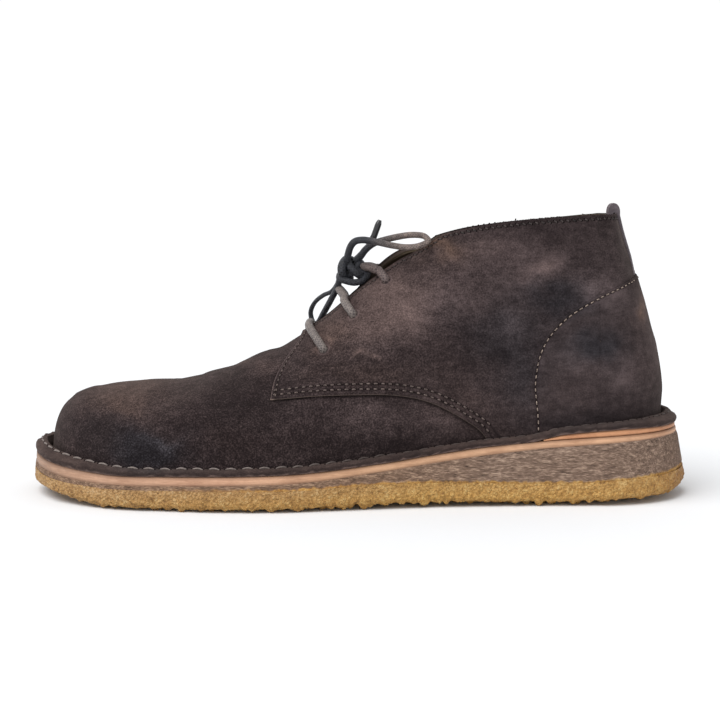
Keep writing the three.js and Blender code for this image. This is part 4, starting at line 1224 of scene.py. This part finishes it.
def counter_side(i):
    return LATERAL if i <= 56 else MEDIAL


bm = panel(
    112, 60, lambda i, j: (*counters[counter_side(i)][0](i, j), counter_side(i)),
    lambda i, j: 1.3 + 0.5 * min(1, min(i, 112 - i, 60 - j) / 4) + 0.8 * min(1, min(i, 112 - i, 60 - j) / 14),
    lambda i, j: 1.12)
brush_nap_and_shade(bm)
counter_lines = {side: on_skin(counters[side][1], side, 1.6) for side in (LATERAL, MEDIAL)}
note_distance(bm, "seam", list(counter_lines.values()))
counter_faces = BVHTree.FromBMesh(bm)
# The counter's row is painted shade in its stitch groove.
counter_suede = suede_finish("counter_suede", SUEDE_DARK, SUEDE_LIGHT, 0.9, (("seam", 1.3, 0.9, 0.6),))
settle(bm, "counter_patch", [counter_suede, counter_suede], "suede", "upper")


# Lining: thin dark leather glued inside the whole shaft and foot, from the collar to the insole.
lining_finish, shader = finish_of("lining_leather", 0.72, 0.25)
tree = lining_finish.node_tree
spot = add(tree, "ShaderNodeTexCoord").outputs["Object"]
pores = add(tree, "ShaderNodeTexVoronoi", {"Vector": spot, "Scale": 900}).outputs["Distance"]
tone = add(tree, "ShaderNodeTexNoise", {"Vector": spot, "Scale": 70, "Detail": 4}).outputs["Fac"]
tree.links.new(blend_colour(tree, tone, paint(44, 37, 29), paint(92, 78, 60)), shader.inputs["Base Color"])
tree.links.new(bump_from(tree, pores, 0.0002, 0.5), shader.inputs["Normal"])
bm = both_halves(150, 50, 0.0, ROUND, -1.0, -1.8, v_top)
flare(bm, on_skin(top_spots[MEDIAL], MEDIAL, -1))
lining_faces = BVHTree.FromBMesh(bm)
punch(settle(bm, "shaft_lining", [lining_finish, lining_finish], "lining", "upper"), 2.4, 0)


# Insole: a thin sock of the lining leather over the footbed, glued down flat from toe to heel.
sock_rings = [
    (lambda station: -2.7, top_of("seat", 0.3)), (lambda station: -2.7, top_of("seat", 2.6)),
    (lambda station: -3.4, top_of("seat", 3.3)),
]
bm = round_boot(240, len(sock_rings) + 1, layer_spot(sock_rings))
settle(bm, "insole_sock", [lining_finish], "lining", "insole")


# Tongue: one thin piece of suede under the facings, widest under the top holes and rounded at its end.
# Its lower end is caught in the seam between vamp and quarters.
def tongue_spot(i, j):
    x = -40 + 70 * i / 60
    half = 12 + 13 * min(max((x + 46) / 50, 0), 1)
    half *= math.sqrt(max(1 - max((x - 24) / 7, 0) ** 2.4, 0.2))
    y = half * (2 * j / 30 - 1)
    side = LATERAL if y < 0 else MEDIAL
    station = station_of(x, side)
    row = last_at(station)
    reach = abs(y)
    if reach < row["open"] + 0.01:
        return station, 1.0, side, y
    return station, v_where(station, side, lambda p: side * (p.y - row["y"]) > reach), side, y


bm = new_mesh()
bmesh.ops.create_grid(bm, x_segments=60, y_segments=30, size=1, calc_uvs=True)
bmesh.ops.solidify(bm, geom=bm.faces[:], thickness=0.1)
for vert in bm.verts:
    station, v, side, y = tongue_spot(round((vert.co.x + 1) * 30), round((vert.co.y + 1) * 15))
    level = -2.35 if vert.co.z > -0.05 else -4.1
    row = last_at(station)
    if v >= 1:
        top = skin(station, 1.0, side)
        drop = 1 - (y / max(row["open"], 0.5)) ** 2
        vert.co = Vector((top.x, row["y"] + y, top.z + level + 0.8 * drop))
    else:
        vert.co = leather(station, v, side, level)
brush_nap_and_shade(bm)
tongue_suede = suede_finish("tongue_suede", SUEDE_DARK, SUEDE_LIGHT, 0.6)
settle(bm, "tongue_leather", [tongue_suede], "suede", "tongue")


# Welt: a folded strip of the same suede laid round the foot of the upper and stitched down through the
# midsole. It is fuller round the toe and the heel, where the strip is drawn in.
def welt_ring(extra, share, rise=0.0):
    def height(x, station):
        cosine = math.cos(math.radians(last_at(station)["turn"]))
        thick = 2.4 + (1.8 if cosine > 0 else 0.7) * abs(cosine) ** 1.2
        at = outline(round(station, 2), LATERAL)
        wave = 0.22 * noise.noise(Vector((x, station, 0)) / 9)
        return sole_at(round(x, 2))["seat"] + 0.3 + thick * share + (0.5 + 1.5 * cosine * cosine) * rise + wave * share
    return ledge(extra), height


welt_rings = [
    welt_ring(-0.9, -0.1), welt_ring(-0.3, 0.08), welt_ring(0.1, 0.4), welt_ring(0, 0.68), welt_ring(-0.5, 0.9),
    welt_ring(-1.2, 1), welt_ring(-2.0, 0.98, 0.25), welt_ring(-2.9, 1, 0.6), welt_ring(-3.6, 1, 1),
    welt_ring(-5.2, 0.9, 1), welt_ring(-6.6, 0.1),
]
# The welt's darker dented line, 1.5 mm above its foot, is painted shade in a groove; the line at its foot is made
# lighter.
welt_suede = suede_finish(
    "welt_suede", paint(44, 35, 34), paint(140, 118, 110), 0.8,
    rows=(("foot", 0.2, 0.8, -0.5), ("foot", 1.5, 1.1, 0.5)))
bm = round_boot(320, len(welt_rings) + 1, layer_spot(welt_rings))
brush_nap_and_shade(bm)
note_height(bm, "foot", "seat", 1.2)
welt_faces = BVHTree.FromBMesh(bm)
settle(bm, "welt_strip", [welt_suede], "suede", "welt")


# Stitches: waxed thread, each stitch drawn down at both ends into its needle hole.
# One short bent thread is copied along every row and turned to lie on its own piece.
def thread_finish(name, dark, light):
    material, shader = finish_of(name, 0.7, 0.3)
    tree = material.node_tree
    spot = add(tree, "ShaderNodeTexCoord").outputs["Object"]
    twist = add(tree, "ShaderNodeTexNoise", {"Vector": spot, "Scale": 1300, "Detail": 2}).outputs["Fac"]
    tree.links.new(stops(tree, twist, (0.32, dark), (0.66, light)), shader.inputs["Base Color"])
    tree.links.new(bump_from(tree, twist, 0.0002, 0.7), shader.inputs["Normal"])
    return material


# Needle holes: a dark disc at each end of a stitch, painted shade of the hole that the thread goes into.
needle_hole_shade, shader = finish_of("needle_hole_shade", 1.0, 0.0)
shader.inputs["Base Color"].default_value = paint(20, 16, 16)


def row_line(spots, side, level, distance, faces):
    """The row that lies that far inside an edge. The piece is on the left of its edge."""
    marks = [(leather(station, v, side, level), facing(station, v, side)) for station, v in spots]
    tree = kdtree.KDTree(len(marks))
    for k, (at, _) in enumerate(marks):
        tree.insert(at, k)
    tree.balance()
    line = []
    for k, (at, out) in enumerate(marks):
        way = marks[min(k + 1, len(marks) - 1)][0] - marks[max(k - 1, 0)][0]
        inward = (out.cross(way) * -side).normalized()
        there = at + inward * distance
        if tree.find(there)[2] > distance * 0.93:
            line.append(faces.find_nearest(there)[0])
    return line


def even_steps(line, pitch, start=0.0):
    """Places and directions along a line, one every pitch."""
    far = [0.0]
    for a, b in zip(line, line[1:]):
        far.append(far[-1] + (b - a).length)
    want = start
    while want < far[-1]:
        i = min(max(bisect.bisect_right(far, want) - 1, 0), len(line) - 2)
        span = line[i + 1] - line[i]
        yield line[i] + span * (want - far[i]) / max(far[i + 1] - far[i], 1e-6), span.normalized(), want
        want += pitch


def sew(bm, line, faces, pitch, length, thick, rise, loose=0.0, slant=0.0):
    """Lays a row of stitches of that length and thickness on a piece's faces."""
    single = new_mesh()
    arc = [Vector((length * (k / 6 - 0.5), 0, rise * (1 - (k / 3 - 1) ** 2) - thick * 0.75)) for k in range(7)]
    tube(single, arc, 6, lambda share: thick * (0.55 + 0.45 * math.sin(math.pi * share)))
    stitch = bpy.data.meshes.new("stitch")
    for at, way, walked in even_steps(line, pitch, pitch / 2):
        at, out, _, _ = faces.find_nearest(at)
        way = (way - out * way.dot(out)).normalized()
        way = Matrix.Rotation(slant + loose * math.sin(walked * 7.7), 3, out) @ way
        turn = Matrix((way, out.cross(way), out)).transposed().to_4x4()
        copied = single.copy()
        copied.transform(Matrix.Translation(at) @ turn)
        copied.to_mesh(stitch)
        copied.free()
        bm.from_mesh(stitch)
        # At both ends a dark disc, lying just over the piece, is painted shade of the needle hole.
        for end in (-0.5, 0.5):
            sunk = Matrix.Translation(at + way * length * end + out * 0.06) @ turn
            ring = bmesh.ops.create_circle(bm, cap_ends=True, segments=7, radius=thick * 1.05, matrix=sunk)["verts"]
            ring[0].link_faces[0].material_index = 1
    bpy.data.meshes.remove(stitch)


seam_thread = thread_finish("seam_thread", paint(50, 42, 40), paint(114, 99, 93))
bm = new_mesh()
for side in (LATERAL, MEDIAL):
    faces = quarter_faces[side]
    seam = [spot for spot in seam_spots[side] if spot[1] > 0.03]
    sew(bm, row_line(seam, side, 1.1, 2.3, faces), faces, 3.2, 1.9, 0.36, 0.4)
    sew(bm, row_line(seam, side, 1.1, 4.7, faces), faces, 3.2, 1.9, 0.36, 0.4)
    sew(bm, row_line(front_spots[side][::-1], side, 1.1, 2, faces), faces, 2.9, 1.7, 0.32, 0.3)
settle(bm, "seam_stitches", [seam_thread, needle_hole_shade], "lace")

collar_thread = thread_finish("collar_thread", paint(30, 26, 26), paint(76, 67, 65))
bm = new_mesh()
for side in (LATERAL, MEDIAL):
    faces = quarter_faces[side]
    line = row_line(top_spots[side][::-1], side, 1.1, 1.9, faces)
    sew(bm, line, faces, 2.8, 1.9, 0.36, 0.3, slant=side * 0.5)
    inside = []
    for at in line:
        near, out, _, _ = faces.find_nearest(at)
        inside.append(lining_faces.find_nearest(near - out * 3.2)[0])
    sew(bm, inside, lining_faces, 2.8, 1.9, 0.36, 0.3, slant=side * 0.5)
settle(bm, "collar_stitches", [collar_thread, needle_hole_shade], "lace")

counter_thread = thread_finish("counter_thread", paint(82, 71, 66), paint(160, 142, 130))
bm = new_mesh()
for side in (LATERAL, MEDIAL):
    spots = [spot for spot in counters[side][1][::-1] if spot[1] > 0.02]
    sew(bm, row_line(spots, side, 1.6, 1.3, counter_faces), counter_faces, 2.9, 2.0, 0.28, 0.35)
settle(bm, "counter_stitches", [counter_thread, needle_hole_shade], "lace")

# The welt's thread is thicker. It stands up in the toe's channel and sinks out of sight behind the waist.
welt_thread, shader = finish_of("welt_thread", 0.7, 0.3)
tree = welt_thread.node_tree
spot = add(tree, "ShaderNodeTexCoord").outputs["Object"]
twist = add(tree, "ShaderNodeTexNoise", {"Vector": spot, "Scale": 1100, "Detail": 2}).outputs["Fac"]
place = along_boot(tree)
# Behind the waist both colours are darker: painted shade of the channel that the thread sinks into.
light = stops(tree, place, (0.3, paint(150, 138, 132)), (0.5, paint(84, 72, 68)))
dark = stops(tree, place, (0.3, paint(78, 70, 68)), (0.5, paint(40, 34, 33)))
tree.links.new(blend_colour(tree, twist, dark, light), shader.inputs["Base Color"])
tree.links.new(bump_from(tree, twist, 0.0002, 0.7), shader.inputs["Normal"])
bm = new_mesh()
spread, height = welt_ring(-3.3, 1, 0.75)
for side in (LATERAL, MEDIAL):
    line = []
    for k in range(301):
        station = ROUND * k / 300
        at = outline(station, side, round(spread(station), 3))
        line.append(Vector((at.x, at.y, height(at.x, station))))
    front = sum(at.x < 10 for at in line)
    sew(bm, line[:front], welt_faces, 7.3, 5.4, 0.46, 0.7, loose=0.12)
    sew(bm, line[front:], welt_faces, 7.3, 4.6, 0.34, 0.25)
settle(bm, "welt_stitches", [welt_thread, needle_hole_shade], "lace")


# Lace bars: the cord comes up out of a lace hole on one side and goes down into the one across. It is the
# same braid as the bow, pressed a little wider where it bears on the leather.
BAR_LACE = 1.14 * LACE


def on_quarter(x, z, side, out=0.0):
    station = station_of(x, side)
    v = v_where(station, side, lambda p: p.z < z)
    return leather(station, v, side, 1.1 + out)


BARS = (
    ("bar_low", (-15.4, 68.2), [(-17.9, 71.4, 2.5), (-20.4, 74.6, 2.5)], [], (-22.4, -0.6, 78.3), "lace_bar_low"),
    ("bar_middle", (-1.9, 83.5), [(-3.9, 86.8, 2.8)], [(-6.3, 7.6, 90.8)], (-8.8, -1, 94.3), "lace_bar_middle"),
    ("bar_top", (12.8, 98.7), [(11, 100.6, 2.6)], [(8.7, 8.6, 103.2), (5.4, 5.4, 104.3)], (1.6, -1.4, 104.4),
     "lace_bar_top"),
)
for name, hole, on_it, free, over, node in BARS:
    low = (hole[0] + 0.4, hole[1] - 0.5)
    rise = {
        side: [
            on_quarter(*hole, side, -2.8), on_quarter(*low, side, -0.6), on_quarter(*low, side, 0.9),
            *[on_quarter(x, z, side, out) for x, z, out in on_it],
            *[Vector((x, side * y - 0.6, z)) for x, y, z in free],
        ]
        for side in (LATERAL, MEDIAL)
    }
    bm = new_mesh()
    tube(bm, rounded_route([*rise[LATERAL], over, *rise[MEDIAL][::-1]]), size=lambda share: BAR_LACE)
    settle(bm, name, [lace_pale], "lace", node)


# Pull strap: a doubled strip of suede over the middle of the collar, sewn down inside and behind.
# It stands up as a rounded tab and runs down the back seam.
STRAP_OUTSIDE = (
    # below the rim, off the last
    (28, 1.25), (24, 1.45), (20, 1.7), (16, 1.8), (12, 1.9), (8, 2), (4, 2.3), (1.5, 2.5),
)


def strap_line(station, side):
    """The strap's two faces at one place across it, from its lower end outside to its end inside."""
    middle = Vector((last_at(station)["x"], last_at(station)["y"], 0))
    rim = skin(station, 1.0, side).z

    def wall(drop, level):
        at = leather(station, v_where(station, side, lambda p: p.z < rim - drop), side, level)
        return math.hypot(at.x - middle.x, at.y - middle.y), at.z

    under = [wall(drop, 1.12) for drop, _ in STRAP_OUTSIDE]
    outer = [wall(drop, level) for drop, level in STRAP_OUTSIDE]
    centre = (under[-1][0] + wall(1.5, -1.9)[0]) / 2
    half = outer[-1][0] - centre
    for k in range(13):
        turn = math.pi * k / 12
        under.append((centre + 0.15 * math.cos(turn), rim + 0.4 + 0.15 * math.sin(turn)))
        outer.append((centre + half * math.cos(turn), rim + 0.6 + 4 * math.sin(turn)))
    for drop in (1.5, 5, 9, 13):
        under.append(wall(drop, -1.9))
        outer.append(wall(drop, -2.9))
    return middle, ray(last_at(station)["turn"], side), under, outer


strap_rows = len(strap_line(ROUND, LATERAL)[2]) - 1
bm = new_mesh()
bmesh.ops.create_grid(bm, x_segments=10, y_segments=strap_rows, size=1, calc_uvs=True)
bmesh.ops.solidify(bm, geom=bm.faces[:], thickness=0.1)
for vert in bm.verts:
    across = vert.co.x * 5
    side = LATERAL if across <= 0 else MEDIAL
    back = abs(across) / (11 + 1.1)
    middle, way, under, outer = strap_line(ROUND - math.degrees(back) / 30 * (PLACES[-1] - PLACES[-2]), side)
    out, up = (outer if vert.co.z > -0.05 else under)[round((vert.co.y + 1) / 2 * strap_rows)]
    vert.co = middle + way * out + Vector((0, 0, up))
brush_nap_and_shade(bm)
strap_suede = suede_finish("strap_suede", paint(74, 66, 70), paint(180, 168, 172), 0.8)
settle(bm, "pull_strap", [strap_suede], "suede", "pull_loop")


# Floor and light: white paper in a white studio, brighter low down all round than overhead, with one large
# soft light above the toe that gives the shadow behind the heel.
bm = new_mesh()
bmesh.ops.create_grid(bm, x_segments=1, y_segments=1, size=4, calc_uvs=True)
mesh = bpy.data.meshes.new("floor")
bm.to_mesh(mesh)
bm.free()
floor = bpy.data.objects.new("floor", mesh)
bpy.context.scene.collection.objects.link(floor)
floor_finish, shader = finish_of("floor_paper", 0.9, 0.1)
shader.inputs["Base Color"].default_value = (0.79, 0.8, 0.815, 1)
mesh.materials.append(floor_finish)

world = bpy.data.worlds.new("studio")
world.use_nodes = True
tree = world.node_tree
way = add(tree, "ShaderNodeTexCoord").outputs["Generated"]
height = add(tree, "ShaderNodeSeparateXYZ", {0: way}).outputs[2]
strength = add(tree, "ShaderNodeMapRange", {
    "Value": height, "From Min": 0.15, "From Max": 0.5, "To Min": 1.02, "To Max": 0.62}).outputs[0]
tree.links.new(strength, tree.nodes["Background"].inputs["Strength"])
tree.nodes["Background"].inputs["Color"].default_value = (1, 1, 1, 1)
bpy.context.scene.world = world
key = bpy.data.objects.new("key", bpy.data.lights.new("key", "SUN"))
key.data.energy = 2.5
key.data.angle = math.radians(50)
key.rotation_euler = Vector((0.45, 0.4, -1)).to_track_quat("-Z", "Y").to_euler()
bpy.context.scene.collection.objects.link(key)
